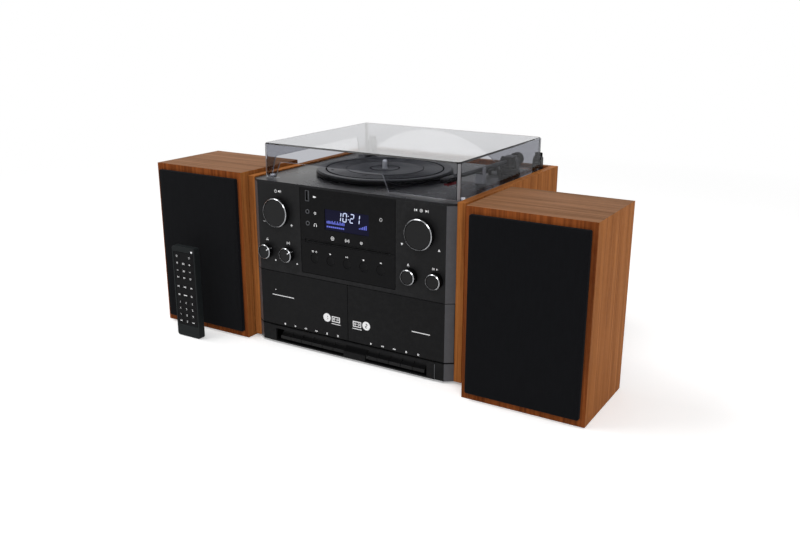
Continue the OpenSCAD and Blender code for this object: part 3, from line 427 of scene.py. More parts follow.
# ---- mesh helpers
def addPiece(name, bm, body, surfaces, smooth=32, stands=(), rounding=0, segments=2):
    bmesh.ops.recalc_face_normals(bm, faces=bm.faces)
    mesh = bpy.data.meshes.new(name)
    bm.to_mesh(mesh)
    bm.free()
    for surface in surfaces:
        mesh.materials.append(surface)
    mesh.shade_smooth()
    mesh.set_sharp_from_angle(angle=math.radians(smooth))
    piece = bpy.data.objects.new(name, mesh)
    bpy.context.scene.collection.objects.link(piece)
    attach(piece, body)
    if stands:
        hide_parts(*stands)
    if rounding:
        edges = piece.modifiers.new("edges", "BEVEL")
        edges.width = rounding * mm
        edges.segments = segments
        edges.limit_method = "ANGLE"
        edges.angle_limit = math.radians(32)
        edges.harden_normals = True
    return piece


def dress(node, surfaces, rounding, pick=None, segments=2, shape=None):
    # the node's own shape with rounded edges and finishes picked by face
    bm = bmesh.new()
    bm.from_mesh(nodes[node].data)
    bmesh.ops.remove_doubles(bm, verts=bm.verts, dist=2e-6)
    bmesh.ops.dissolve_limit(bm, angle_limit=math.radians(0.4), verts=bm.verts, edges=bm.edges)
    bmesh.ops.recalc_face_normals(bm, faces=bm.faces)
    for face in bm.faces:
        face.material_index = pick(face) if pick else 0
    if shape:
        shape(bm)
    addPiece(node + "_dressed", bm, bodyOf[node], surfaces, 32, [node], rounding, segments)


def lathe(bm, profile, matrix, steps=64, surface=0):
    # profile: (radius, along) points, turned round the matrix's Z
    rings = []
    for radius, along in profile:
        if radius < 1e-6:
            rings.append([bm.verts.new(matrix @ Vector((0, 0, along * mm)))])
            continue
        rings.append([
            bm.verts.new(matrix @ Vector((radius * mm * math.cos(a), radius * mm * math.sin(a), along * mm)))
            for a in (2 * math.pi * i / steps for i in range(steps))
        ])
    for low, high in zip(rings, rings[1:]):
        for i in range(steps):
            k = (i + 1) % steps
            corners = [low[i % len(low)], low[k % len(low)], high[k % len(high)], high[i % len(high)]]
            kept = [v for n, v in enumerate(corners) if v not in corners[:n]]
            if len(kept) > 2:
                bm.faces.new(kept).material_index = surface
    return rings


def closedLathe(bm, profile, matrix, steps=64, surface=0):
    return lathe(bm, [*profile, profile[0]], matrix, steps, surface)


def facing(x, y, z, axis="front"):
    # Z of the result points the way named; X to its right, Y up
    turns = {
        "front": ((1, 0, 0), (0, 0, 1), (0, -1, 0)),
        "rear": ((-1, 0, 0), (0, 0, 1), (0, 1, 0)),
        "up": ((1, 0, 0), (0, 1, 0), (0, 0, 1)),
    }
    turn = Matrix(turns[axis]).transposed().to_4x4()
    return Matrix.Translation((x * mm, y * mm, z * mm)) @ turn


def addBlock(bm, x, y, z, matrix=None, surface=0):
    corners = [Vector((a * mm, b * mm, c * mm)) for a in x for b in y for c in z]
    verts = [bm.verts.new(matrix @ c if matrix else c) for c in corners]
    for quad in ((0, 1, 3, 2), (4, 6, 7, 5), (0, 4, 5, 1), (2, 3, 7, 6), (0, 2, 6, 4), (1, 5, 7, 3)):
        bm.faces.new([verts[i] for i in quad]).material_index = surface
    return verts


def roundedOutline(width, height, radius, steps=6):
    points = []
    for cx, cy, start in ((1, 1, 0), (-1, 1, 90), (-1, -1, 180), (1, -1, 270)):
        for i in range(steps + 1):
            a = math.radians(start + 90 * i / steps)
            points.append((cx * (width / 2 - radius) + radius * math.cos(a),
                           cy * (height / 2 - radius) + radius * math.sin(a)))
    return points


def loft(bm, loops, matrix, surface=0, capStart=True, capEnd=True):
    # loops: lists of (u, v, w) with equal counts
    rows = [[bm.verts.new(matrix @ Vector((u * mm, v * mm, w * mm))) for u, v, w in loop] for loop in loops]
    count = len(rows[0])
    for low, high in zip(rows, rows[1:]):
        for i in range(count):
            k = (i + 1) % count
            bm.faces.new((low[i], low[k], high[k], high[i])).material_index = surface
    if capStart:
        bm.faces.new(rows[0]).material_index = surface
    if capEnd:
        bm.faces.new(rows[-1]).material_index = surface
    return rows


def pillow(bm, width, height, depth, radius, edge, matrix, surface=0):
    # rounded plate with rounded front edges, from w = 0 to depth
    loops = []
    for inset, w in ((0, 0), (0, depth - edge), (edge * 0.3, depth - edge * 0.3), (edge, depth)):
        outline = roundedOutline(width - 2 * inset, height - 2 * inset, max(radius - inset, 0.05))
        loops.append([(u, v, w) for u, v in outline])
    loft(bm, loops, matrix, surface)


def addScrews(name, body, profile, steps, places):
    bm = bmesh.new()
    for place in places:
        lathe(bm, profile, place, steps)
    addPiece(name, bm, body, [sheetSteel], smooth=50)


def low(node):
    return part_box(node)[0] / mm


def high(node):
    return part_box(node)[1] / mm


def middle(node):
    return (low(node) + high(node)) / 2


# ---- woodwork
def byGrain(face):
    # the boards' front edges are darker than their faces
    # up and down faces take the walnut with painted sheen
    if abs(face.normal.z) > 0.7:
        return 1
    return 2 if face.normal.y < -0.9 else 0


boxWood = [walnutUpright, walnutAcrossSheen, walnutFront]
for side in ("left", "right"):
    dress(side + "_side_panel", [walnutUpright, walnutDeep, walnutUpright], 0.5, byGrain)
dress("back_panel", boxWood, 0.3, byGrain)
for side in ("left", "right"):
    dress(side + "_speaker_cabinet", boxWood, 0.7, byGrain, 3)
print("woodwork done")

# ---- front mouldings, doors and keys
def byBevel(face):
    # the slanted ends of the front
    if face.normal.y < -0.6 and abs(face.normal.x) > 0.4 and abs(face.normal.z) < 0.1:
        return 1
    # the upper panel is a shade lighter than the strip
    return 2 if face.calc_center_median().z / mm > 108.6 and face.normal.y < -0.9 else 0


def bySocket(face):
    # sockets stand on the board at their own place
    place = face.calc_center_median() / mm
    if abs(place.x + 63.3) > 3.7 or place.z < 180:
        return 0
    return 1 if place.z > 212 else 2


dress("front_panel", [blackSatin, bevelSatin, panelSatin], 0.25, byBevel)
dress("centre_fascia", [glossBlack], 0.3)
for node in ("deck1_door", "deck2_door"):
    dress(node, [blackSatin, bevelSatin], 0.3, byBevel)
dress("control_board", [circuitBoard, darkMetal, keyPlastic], 0.05, bySocket, 1)
for node in sorted(n for n in nodes if n.endswith("_key")):
    dress(node, [keyPlastic], 0.4)
print("front done")

# ---- knobs and round buttons
ringWidth = 0.8


def addKnob(node, body, radius, pointerAngle=None):
    c, front, back = middle(node), low(node).y, high(node).y
    deep = back - front
    at = facing(c.x, back, c.z)
    ring = ringWidth
    edge = ring + 0.35
    face = spun(node + "Face", tone(25, 25, 26), (c.x * mm, front * mm, c.z * mm), 0.36, 0.14)
    bm = bmesh.new()
    groove = (radius - edge - ring - 0.3, deep - 0.45)
    lathe(bm, [(0, 0), (radius - 0.5, 0), (radius, 0.5), (radius, deep * 0.35), (radius - 0.18, deep * 0.38),
               (radius - 0.18, deep * 0.42), (radius, deep * 0.45), (radius, deep - edge),
               (radius - edge * 0.3, deep - edge * 0.3), (radius - edge, deep - 0.02),
               (radius - edge - ring, deep - 0.1), groove], at, 72)
    lathe(bm, [groove, (radius * 0.4, deep - 0.5), (0, deep - 0.52)], at, 72, 1)
    bmesh.ops.remove_doubles(bm, verts=bm.verts, dist=1e-6)
    addPiece(node + "_body", bm, body, [knobBlackShaded, face], 40, [node])
    bm = bmesh.new()
    outer = radius + 0.02
    closedLathe(bm, [(outer - 0.6, deep - ring - 0.6), (outer, deep - ring - 0.1),
                     (outer + 0.03, deep - ring), (outer - ring, deep + 0.03),
                     (outer - ring - 0.12, deep - 0.02), (outer - ring - 0.3, deep - 0.7)], at, 96)
    addPiece(node + "_ring", bm, body, [chrome], smooth=50)
    if pointerAngle is None:
        return
    bm = bmesh.new()
    turned = at @ Matrix.Rotation(math.radians(pointerAngle), 4, "Z")
    addBlock(bm, (radius * 0.52, radius - 0.4), (-0.6, 0.6), (deep - 0.5, deep + 0.16), turned)
    addBlock(bm, (radius - 0.5, radius + 0.32), (-0.6, 0.6), (1.6, deep - 0.5), turned)
    addPiece(node + "_pointer", bm, body, [satinSteel], rounding=0.12)


for node in ("volume_knob", "tuning_knob"):
    addKnob(node, bodyOf[node], (high(node).x - low(node).x) / 2)
for node in ("eject_button", "source_button"):
    addKnob(node, bodyOf[node], (high(node).x - low(node).x) / 2)
smallRadius = (high("source_button").x - low("source_button").x) / 2
for node in ("bass_knob", "treble_knob"):
    addKnob(node, bodyOf[node], smallRadius, pointerAngle=30)
print("knobs done")

# ---- printed marks, made of convex outlines in a unit square
def bar(x0, x1, z0, z1):
    return [[(x0, z0), (x1, z0), (x1, z1), (x0, z1)]]


def dot(cx, cz, r, steps=20):
    return [[(cx + r * math.cos(2 * math.pi * i / steps), cz + r * math.sin(2 * math.pi * i / steps))
             for i in range(steps)]]


def arc(cx, cz, r, width, start, end, steps=16):
    quads = []
    for i in range(steps):
        a, b = (math.radians(start + (end - start) * k / steps) for k in (i, i + 1))
        quads.append([(cx + q * math.cos(t), cz + q * math.sin(t))
                      for q, t in ((r, a), (r + width, a), (r + width, b), (r, b))])
    return quads


def arrow(cx, cz, size, angle):
    return [[(cx + size * math.cos(math.radians(angle + k)), cz + size * math.sin(math.radians(angle + k)))
             for k in (0, 120, 240)]]


symbols = {
    "minus": bar(-0.5, 0.5, -0.1, 0.1),
    "plus": bar(-0.5, 0.5, -0.1, 0.1) + bar(-0.1, 0.1, -0.5, -0.1) + bar(-0.1, 0.1, 0.1, 0.5),
    "up": arrow(0, -0.08, 0.56, 90),
    "down": arrow(0, 0.08, 0.56, -90),
    "play": arrow(-0.08, 0, 0.56, 0),
    "stop": bar(-0.42, 0.42, -0.42, 0.42),
    "pause": bar(-0.38, -0.1, -0.45, 0.45) + bar(0.1, 0.38, -0.45, 0.45),
    "record": dot(0, 0, 0.45),
    "previous": bar(-0.72, -0.54, -0.42, 0.42) + arrow(0.06, 0, 0.5, 180),
    "next": bar(0.54, 0.72, -0.42, 0.42) + arrow(-0.06, 0, 0.5, 0),
    "rewind": arrow(-0.35, 0, 0.46, 180) + arrow(0.38, 0, 0.46, 180),
    "forward": arrow(-0.38, 0, 0.46, 0) + arrow(0.35, 0, 0.46, 0),
    "eject": arrow(0, 0.08, 0.52, 90) + bar(-0.46, 0.46, -0.48, -0.3),
    "playPause": arrow(-0.5, 0, 0.5, 0) + bar(0.2, 0.4, -0.42, 0.42) + bar(0.56, 0.76, -0.42, 0.42),
    "power": arc(0, -0.05, 0.36, 0.12, -235, 55) + bar(-0.06, 0.06, 0.05, 0.55),
    "sound": bar(-0.6, -0.36, -0.2, 0.2) + [[(-0.36, -0.2), (-0.02, -0.46), (-0.02, 0.46), (-0.36, 0.2)]]
    + arc(0, 0, 0.24, 0.1, -48, 48, 8) + arc(0, 0, 0.48, 0.1, -48, 48, 8),
    "menu": bar(-0.6, 0.6, 0.24, 0.4) + bar(-0.6, 0.6, -0.08, 0.08) + bar(-0.6, 0.6, -0.4, -0.24),
    "enter": arc(0, 0, 0.36, 0.12, 0, 360, 24) + dot(0, 0, 0.16, 12),
    "disc": arc(0, 0, 0.38, 0.12, 0, 360, 28) + arc(0, 0, 0.1, 0.1, 0, 360, 14),
    "plug": bar(-0.6, 0.1, -0.26, 0.26) + bar(0.16, 0.5, -0.16, 0.16),
    "jack": arc(0, 0, 0.3, 0.12, 0, 360, 20) + dot(0, 0, 0.13, 12),
    "phones": arc(0, -0.1, 0.42, 0.12, 0, 180, 14) + bar(-0.56, -0.3, -0.5, -0.08)
    + bar(0.3, 0.56, -0.5, -0.08),
    "waves": dot(0, 0, 0.14, 12) + arc(0, 0, 0.3, 0.1, -50, 50, 8) + arc(0, 0, 0.3, 0.1, 130, 230, 8)
    + arc(0, 0, 0.54, 0.1, -50, 50, 8) + arc(0, 0, 0.54, 0.1, 130, 230, 8),
    "sensor": arc(0, 0, 0.4, 0.1, 0, 360, 20),
    "low": bar(-0.5, 0.5, -0.1, 0.1) + arc(0.0, 0.32, 0.16, 0.1, 0, 360, 12),
    "tape": bar(-0.7, 0.7, 0.3, 0.42) + bar(-0.7, 0.7, -0.42, -0.3) + bar(-0.7, -0.58, -0.3, 0.3)
    + bar(0.58, 0.7, -0.3, 0.3) + arc(-0.3, 0.02, 0.1, 0.09, 0, 360, 12)
    + arc(0.3, 0.02, 0.1, 0.09, 0, 360, 12),
    "line": bar(-3.2, 3.2, -0.07, 0.07),
}

segmentOf = {0: "abcdef", 1: "bc", 2: "abged", 3: "abgcd", 4: "fgbc", 5: "afgcd", 6: "afgedc", 7: "abc",
             8: "abcdefg", 9: "abcdfg"}


def digit(value, width=0.5, stroke=0.12):
    w, s, gap = width / 2, stroke / 2, 0.02
    runs = {"a": (0, 0.5 - s, 1), "d": (0, s - 0.5, 1), "g": (0, 0, 1),
            "b": (w - s, 0.25, 0), "c": (w - s, -0.25, 0),
            "f": (s - w, 0.25, 0), "e": (s - w, -0.25, 0)}
    shapes = []
    for name in segmentOf[value]:
        cx, cz, flat = runs[name]
        half = (w - s if flat else 0.25 - s / 2) - gap
        tip = max(half - s, 0)
        points = [(-half, 0), (-tip, -s), (tip, -s), (half, 0), (tip, s), (-tip, s)]
        shapes.append([(cx + a, cz + b) if flat else (cx + b, cz + a) for a, b in points])
    return shapes


def stamp(bm, shapes, matrix, size, rise=0.07, sink=0.05, slant=0, surface=0):
    for points in shapes:
        flat = [((u + slant * v) * size * mm, v * size * mm) for u, v in points]
        front = [bm.verts.new(matrix @ Vector((u, v, rise * mm))) for u, v in flat]
        back = [bm.verts.new(matrix @ Vector((u, v, -sink * mm))) for u, v in flat]
        bm.faces.new(front).material_index = surface
        bm.faces.new(back[::-1]).material_index = surface
        for i in range(len(flat)):
            k = (i + 1) % len(flat)
            bm.faces.new((front[k], front[i], back[i], back[k])).material_index = surface


frontY = low("centre_fascia").y
knobX, knobZ = middle("tuning_knob").x, middle("tuning_knob").z
innerX, outerX = middle("eject_button").x, middle("source_button").x
lowZ = middle("eject_button").z

bm = bmesh.new()
panelMarks = [
    ("minus", -knobX - 25.6, knobZ - 16.2, 3.2), ("plus", -knobX + 22.1, knobZ - 16.4, 4.0),
    ("power", -knobX - 3.6, knobZ + 28.8, 4.6), ("sound", -knobX + 3.4, knobZ + 28.8, 4.4),
    ("down", knobX - 27.7, knobZ - 17.3, 3.8), ("up", knobX + 25.9, knobZ - 18.2, 3.8),
    ("previous", knobX - 7.2, knobZ + 29.2, 4.0), ("enter", knobX, knobZ + 29.2, 4.4),
    ("next", knobX + 7.2, knobZ + 29.2, 4.0),
    ("low", -outerX, lowZ + 15.4, 4.6), ("waves", -innerX, lowZ + 15.4, 4.6),
    ("record", -outerX + 13.4, lowZ - 12.3, 2.6), ("record", -innerX + 14.2, lowZ - 12.4, 2.6),
    ("eject", innerX - 3.2, lowZ + 14.4, 3.4), ("menu", outerX - 3.4, lowZ + 14.6, 3.2),
    ("play", outerX + 1.8, lowZ + 14.6, 2.8),
]
dimpleX = [middle(n + "_button").x for n in ("menu", "previous", "play", "stop", "next")]
dimpleZ = middle("play_button").z
names = ("previous", "playPause", "stop", "next")
markZ = dimpleZ + 9.8
fasciaMarks = [("menu", dimpleX[0] - 2.6, markZ, 2.8), ("enter", dimpleX[0] + 2.8, markZ, 2.6),
               *[(name, x, markZ, 2.5) for name, x in zip(names, dimpleX[1:])],
               ("plug", -50.4, 222.2, 4.4), ("jack", -50.4, 200.2, 4.4), ("phones", -50.4, 184.2, 4.6),
               ("sensor", 53.7, 204.5, 4.2), ("disc", -22.7, 169.2, 5.4), ("waves", 1.0, 169.2, 5.4),
               ("jack", 23.4, 169.2, 4.6)]
for name, x, z, size in panelMarks + fasciaMarks:
    stamp(bm, symbols[name], facing(x, frontY, z), size)
addPiece("panel_marks", bm, "main_unit", [whitePrint])

# numbered discs, rules and key symbols on the doors
doorY = low("deck1_door").y
keySymbols = {
    "deck1": ("record", "play", "rewind", "forward", "eject", "pause"),
    "deck2": ("play", "rewind", "forward", "eject", "pause"),
}
keyNodes = {
    "deck1": ["deck1_%s_key" % k for k in ("record", "play", "rewind", "forward", "stop", "pause")],
    "deck2": ["deck2_%s_key" % k for k in ("play", "rewind", "forward", "stop", "pause")],
}
discX = {"deck1": -34.6, "deck2": 29.8}
for number, deck in enumerate(("deck1", "deck2"), 1):
    bm = bmesh.new()
    at = facing(discX[deck], doorY, 55.7)
    stamp(bm, dot(0, 0, 0.5, 32), at, 12.2)
    stamp(bm, digit(number, 0.55, 0.16), facing(discX[deck], doorY - 0.07, 55.7), 6.4, surface=1)
    inward = 1 if deck == "deck1" else -1
    stamp(bm, symbols["tape"], facing(discX[deck] + inward * 14.8, doorY, 55.2), 9.6)
    stamp(bm, bar(-0.5, 0.5, -0.03, 0.03), facing(discX[deck] + inward * 14.8, doorY, 48.4), 15)
    for x, z, length in ((-110, 73.2, 38), (-123, 81, 1.6)) if deck == "deck1" else ((114, 62.5, 27),):
        stamp(bm, bar(-0.5, 0.5, -0.5 / length, 0.5 / length), facing(x, doorY, z), length)
    for node, name in zip(keyNodes[deck], keySymbols[deck]):
        stamp(bm, symbols[name], facing(middle(node).x, doorY, 31.9), 3.1)
    addPiece(deck + "_marks", bm, deck + "_door", [whitePrint, darkPrintAndShade])

# painted highlight: a light grey bar on the strip's right end, standing in for the edge catching light
bm = bmesh.new()
stamp(bm, bar(-0.024, 0.024, -0.5, 0.5), facing(135.2, low("front_panel").y, 14), 21)
addPiece("strip_end_highlight", bm, "main_unit", [tongueGrey])

# display: lit back and segments
screen = {"rise": 0.12, "digitSize": 12.6, "pitch": 9.0, "time": (1, 0, 2, 1), "slant": 0.1}
windowX, windowZ = 35, 193.8
screenY = frontY + 1.2
bm = bmesh.new()
at = facing(0, screenY, windowZ)
pillow(bm, 2 * windowX - 0.4, 28.1, screen["rise"], 0.6, 0.04, at)
addPiece("display_screen", bm, "main_unit", [displayBack], smooth=60)
bm = bmesh.new()
digitY = screenY - screen["rise"]
for i, value in enumerate(screen["time"]):
    x = 2.6 + (i - 1.5) * screen["pitch"] + (1.2 if i > 1 else -1.2)
    stamp(bm, digit(value, 0.52, 0.1), facing(x, digitY, 199.8), screen["digitSize"], slant=screen["slant"])
for z in (197.8, 202.4):
    stamp(bm, bar(-0.5, 0.5, -0.5, 0.5), facing(2.6, digitY, z), 1.2, slant=0.1)
addPiece("display_time", bm, "main_unit", [displayDigit])
bm = bmesh.new()
for i in range(14):
    tall = 1.6 + 3.0 * abs(math.sin(i * 1.7 + 0.6))
    stamp(bm, bar(-0.5, 0.5, 0, tall / 1.3), facing(-31.6 + i * 2.1, digitY, 188.6), 1.3)
for i in range(9):
    stamp(bm, bar(-0.5, 0.5, -0.42, 0.42), facing(-31.2 + i * 3.2, digitY, 184.4), 2.4)
for i in range(5):
    stamp(bm, bar(-0.5, 0.5, 0, 0.9 + i * 0.75), facing(20 + i * 2.6, digitY, 187.2), 1.5)
addPiece("display_bars", bm, "main_unit", [displayBar])
print("marks and display done")

# felt lips that close the disc slot but for a narrow gap
slot = {"half": 68.2, "gap": 0.7, "z": 161}
bm = bmesh.new()
for side in (-1, 1):
    z0, z1 = sorted((slot["z"] + side * slot["gap"] / 2, slot["z"] + side * 2.55))
    addBlock(bm, (-slot["half"], slot["half"]), (frontY + 0.5, frontY + 1.1), (z0, z1))
addPiece("slot_lips", bm, "main_unit", [slotFelt], rounding=0.15)

# ---- sockets on the front
bm = bmesh.new()
socketX = -63.3
for z in (201, 184.9):
    closedLathe(bm, [(1.82, -0.4), (1.82, 0.1), (2.1, 0.3), (3.1, 0.3), (3.35, 0.05), (3.35, -0.4)],
                facing(socketX, frontY + 0.3, z), 32)
addPiece("socket_rings", bm, "main_unit", [darkMetal])
bm = bmesh.new()
addBlock(bm, (socketX - 0.2, socketX + 1.6), (frontY + 2, frontY + 11.8), (217.2, 227.6))
addPiece("usb_tongue", bm, "main_unit", [tongueGrey], rounding=0.15)
print("sockets done")

# ---- turntable
deckTop = 236.4
spindle = {"x": -24, "y": -20, "radius": 3.55, "top": high("platter").z, "boss": 4.55}
platterSettings = {"radius": 98, "low": 237.2, "rise": 5.4, "mat": 1.1}
dress("turntable_deck", [deckPlastic], 0.4)

at = facing(spindle["x"], spindle["y"], platterSettings["low"], "up")
R, rise, mat = platterSettings["radius"], platterSettings["rise"], platterSettings["mat"]
bm = bmesh.new()
lathe(bm, [(0, 3.8), (14, 3.8)], at, 96)
profile = [(0, rise), (R - 2.6, rise), (R - 1.2, rise - 0.1), (R - 0.3, rise - 0.7), (R, rise - 1.6),
           (R, 2.2), (R - 0.35, 1.9), (R - 0.35, 1.4), (R, 1.1), (R, 0.3), (R - 0.3, 0), (R - 3, 0),
           (R - 3, 3.8), (R - 22, 3.8), (R - 22, 0), (R - 25, 0), (R - 25, 3.8), (14, 3.8)]
lathe(bm, profile, at, 128)
bmesh.ops.remove_doubles(bm, verts=bm.verts, dist=1e-6)
addPiece("platter_disc", bm, "platter", [platterMetal], 30, ["platter"])

bm = bmesh.new()
r, tip = spindle["radius"], spindle["top"] - platterSettings["low"]
lathe(bm, [(0, -20), (r, -20), (r, 5), (spindle["boss"], 5.2), (spindle["boss"], rise + mat - 0.2),
           (spindle["boss"] - 0.3, rise + mat), (r, rise + mat), (r, tip - 3), (r * 0.94, tip - 1.6),
           (r * 0.74, tip - 0.6), (r * 0.4, tip - 0.1), (0, tip)], at, 40)
addPiece("record_spindle", bm, "platter", [satinSteel], 40)

# mat with raised rim, fine ribs, a label ring, and painted shade: dark pads in its moulded recesses and
# near-black rings in its grooves
bm = bmesh.new()
inner = spindle["boss"] + 0.3
profile = [(inner, 0), (inner, mat - 0.4), (inner + 9, mat - 0.4), (inner + 9.4, mat - 0.25),
           (52.8, mat - 0.4), (53.4, mat), (54.8, mat), (55.4, mat - 0.4)]
for i in range(16):
    radius = 57.5 + i * 1.75
    profile += [(radius, mat - 0.42), (radius + 0.45, mat - 0.22), (radius + 0.9, mat - 0.42)]
profile += [(R - 11.6, mat - 0.4), (R - 11, mat), (R - 3.4, mat), (R - 3, mat - 0.3), (R - 3, 0)]
matAt = facing(spindle["x"], spindle["y"], platterSettings["low"] + rise, "up")
closedLathe(bm, profile, matAt, 128)
addPiece("platter_mat_ribbed", bm, "platter", [rubberMat], 24, ["platter_mat"])
# painted shade: dark pads standing in for the shade in the mat's moulded recesses
bm = bmesh.new()
for radius, angle in ((75.5, 222), (61.7, 275), (61.7, 330), (76, 58), (61.7, 95), (75.5, 150)):
    place = Matrix.Translation((radius * mm, 0, (mat - 0.35) * mm))
    pillow(bm, 4.2, 8.6, 0.2, 1.6, 0.06, matAt @ Matrix.Rotation(math.radians(angle), 4, "Z") @ place)
addPiece("mat_recesses", bm, "platter", [darkPrintAndShade], smooth=50)
# painted shade: near-black rings standing in for the shade in the mat's grooves
bm = bmesh.new()
for radius, width in ((20.0, 1.6), (53.6, 2.2), (R - 15.5, 2.4)):
    closedLathe(bm, [(radius, mat - 0.45), (radius + width, mat - 0.45), (radius + width, mat - 0.08),
                     (radius, mat - 0.08)], matAt, 128)
addPiece("mat_groove_shade", bm, "platter", [grooveShade], smooth=40)
print("platter done")

# ---- arm, drawn along -Y from its pivot and turned to its parked angle
arm = {"x": 130, "y": 66, "z": 255, "length": 166, "parked": 3.1}
armAt = (Matrix.Translation((arm["x"] * mm, arm["y"] * mm, arm["z"] * mm))
         @ Matrix.Rotation(math.radians(-arm["parked"]), 4, "Z"))
alongArm = armAt @ Matrix.Rotation(math.radians(90), 4, "X")
bm = bmesh.new()
tip = arm["length"]
closedLathe(bm, [(0, -24), (3.0, -24), (3.2, 6), (3.2, tip * 0.5), (2.9, tip - 20), (2.9, tip - 15),
                 (0, tip - 15)], alongArm, 32)
closedLathe(bm, [(0, tip - 24), (3.9, tip - 24), (4.2, tip - 23.4), (4.2, tip - 20.6), (3.9, tip - 20),
                 (0, tip - 20)], alongArm, 32)
addPiece("arm_tube", bm, "tonearm", [armSatin], 35, ["tonearm"])
bm = bmesh.new()
at = armAt @ Matrix.Translation((0, 0, -5.2 * mm))
pillow(bm, 17.2, 26, 12.2, 4, 1.6, at)
closedLathe(bm, [(0, -12.2), (1.5, -12.2), (1.5, 12.2), (0, 12.2)],
            armAt @ Matrix.Rotation(math.radians(90), 4, "Y"), 20)
ridged = [(3.2, -27), (7.4, -27), (8.7, -26.2)]
for i in range(5):
    ridged += [(9.0, -25.6 + i * 1.6), (9.0, -24.9 + i * 1.6), (8.6, -24.7 + i * 1.6), (8.6, -24.2 + i * 1.6)]
ridged += [(9.0, -17.2), (8.4, -15.8), (3.2, -15.6)]
closedLathe(bm, ridged, alongArm @ Matrix.Translation((0, 0.5 * mm, 0)), 48)
addPiece("arm_housing", bm, "tonearm", [keyPlastic], 35)
bm = bmesh.new()
headLoops = []
for past, half, bottom, top in ((-22, 3.4, -3.4, 1.6), (-16, 5.4, -3.8, 2.2), (-2, 6.4, -4, 2.2),
                                (9, 6.0, -3.8, 1.8), (12, 4.6, -3.2, 1.0)):
    outline = roundedOutline(2 * half, top - bottom, 1.4, 4)
    headLoops.append([(u, v + (bottom + top) / 2, tip + past) for u, v in outline])
turned = armAt @ Matrix(((1, 0, 0, 0), (0, 0, -1, 0), (0, 1, 0, 0), (0, 0, 0, 1)))
loft(bm, headLoops, turned)
lift = [[(u + 8.2, v, w) for u, v in roundedOutline(2.4 if k else 5, 1.3, 0.6, 3)]
        for k, w in enumerate((tip + 4.2, tip + 8.6))]
loft(bm, lift, turned)
addPiece("arm_head", bm, "tonearm", [keyPlastic], 40)
bm = bmesh.new()
addBlock(bm, (-4, 4), (-tip + 1, -tip + 12), (-8, -3.6), armAt)
addBlock(bm, (-3.2, 3.2), (-tip - 5.5, -tip + 1.4), (-7.2, -3.9), armAt)
needle = armAt @ Matrix.Translation((0, -tip * mm, 0))
closedLathe(bm, [(0, -10.2), (0.35, -10.0), (1.1, -7.4), (1.1, -6.6), (0, -6.6)], needle, 12)
addPiece("stylus", bm, "tonearm", [redPlastic], rounding=0.5)
dress("arm_pivot", [armSatin], 0.5)
dress("cue_lever", [keyPlastic], 0.4)
dress("speed_switch", [keyPlastic], 0.4)
# arm rest with its clip, grey, on the deck's post
bm = bmesh.new()
rest = (Matrix.Translation((arm["x"] * mm, arm["y"] * mm, 0))
        @ Matrix.Rotation(math.radians(-arm["parked"]), 4, "Z"))
addBlock(bm, (-5.3, 5.3), (-88.4, -79.6), (deckTop, deckTop + 13.2), rest)
addBlock(bm, (4.3, 6.4), (-87.4, -80.6), (deckTop + 0.2, arm["z"] + 3.4), rest)
addBlock(bm, (-6.4, -4.3), (-87.4, -80.6), (deckTop + 0.2, arm["z"] - 1.2), rest)
addPiece("arm_rest", bm, "main_unit", [restGrey], rounding=0.7, segments=3)
# screws and speed marks on the deck
addScrews("deck_screws", "main_unit", [(0, 0.25), (1.2, 0.3), (2.9, 0.15), (3.2, -0.05)], 24,
          [facing(x, y, deckTop, "up") for x, y in ((-132, 96), (-132, -128), (96, -128), (62, 96))])
bm = bmesh.new()
for value, y in (((3, 3), 103.5), ((4, 5), 91.5)):
    for k, number in enumerate(value):
        stamp(bm, digit(number, 0.52, 0.12), facing(117.5 + k * 2.6, y, deckTop, "up"), 3.6)
addPiece("speed_marks", bm, "main_unit", [whitePrint])
print("arm done")

# ---- dust cover
coverLow, coverHigh = low("dust_cover"), high("dust_cover")
coverRear = max(v.co.y for v in nodes["dust_cover"].data.vertices if v.co.z / mm > coverHigh.z - 1) / mm


def byWall(face):
    # polished top, wall, rounded corner or the cut through a wall
    place, turned = face.calc_center_median() / mm, face.normal
    if abs(turned.z) > 0.7 and place.z > coverHigh.z - 6:
        return 1
    depth = min(place.x - coverLow.x, coverHigh.x - place.x, place.y - coverLow.y, abs(coverRear - place.y))
    if 0.7 < depth < 1.9 and place.z < coverHigh.z - 6:
        return 3
    return 2 if min(abs(turned.x), abs(turned.y)) > 0.3 and place.y < coverRear else 0


def roundTop(bm):
    # a wider bevel round the top
    rim = [e for e in bm.edges
           if all(v.co.z / mm > coverHigh.z - 0.1 for v in e.verts) and not e.is_boundary
           and any(abs(f.normal.z) < 0.1 for f in e.link_faces)]
    bmesh.ops.bevel(bm, geom=rim, offset=1.9 * mm, offset_type="OFFSET", segments=1, affect="EDGES",
                    clamp_overlap=False, material=2)


coverSurfaces = [smokedAcrylic, glossyAcrylic, acrylicEdgeShade, acrylicCut]
dress("dust_cover", coverSurfaces, 0.4, byWall, shape=roundTop)
dress("cover_hinges", [keyPlastic], 0.5)
# clear bumpers under the front corners and a dark leaf at each hinge
bm = bmesh.new()
c0, c1 = low("dust_cover"), high("dust_cover")
for x in (c0.x + 3.4, c1.x - 3.4):
    closedLathe(bm, [(0, 0), (3.4, 0), (3.9, 0.5), (3.9, 2.4), (3.2, 3.2), (0, 3.4)],
                facing(x, c0.y + 14, deckTop + 0.02, "up"), 24)
addPiece("cover_bumpers", bm, "main_unit", [clearSoft], smooth=50)
bm = bmesh.new()
for x in (-139, 149.6):
    pillow(bm, 12.4, 21, 1.2, 1.2, 0.4, facing(x, c1.y - 2.1, 250.5))
addPiece("hinge_leaves", bm, "dust_cover", [keyPlastic], smooth=50)
print("cover done")

# ---- loudspeaker grilles: cloth stretched over the frame
clothSettings = {"wrap": 4.6, "edge": 1.2, "thick": 0.25}


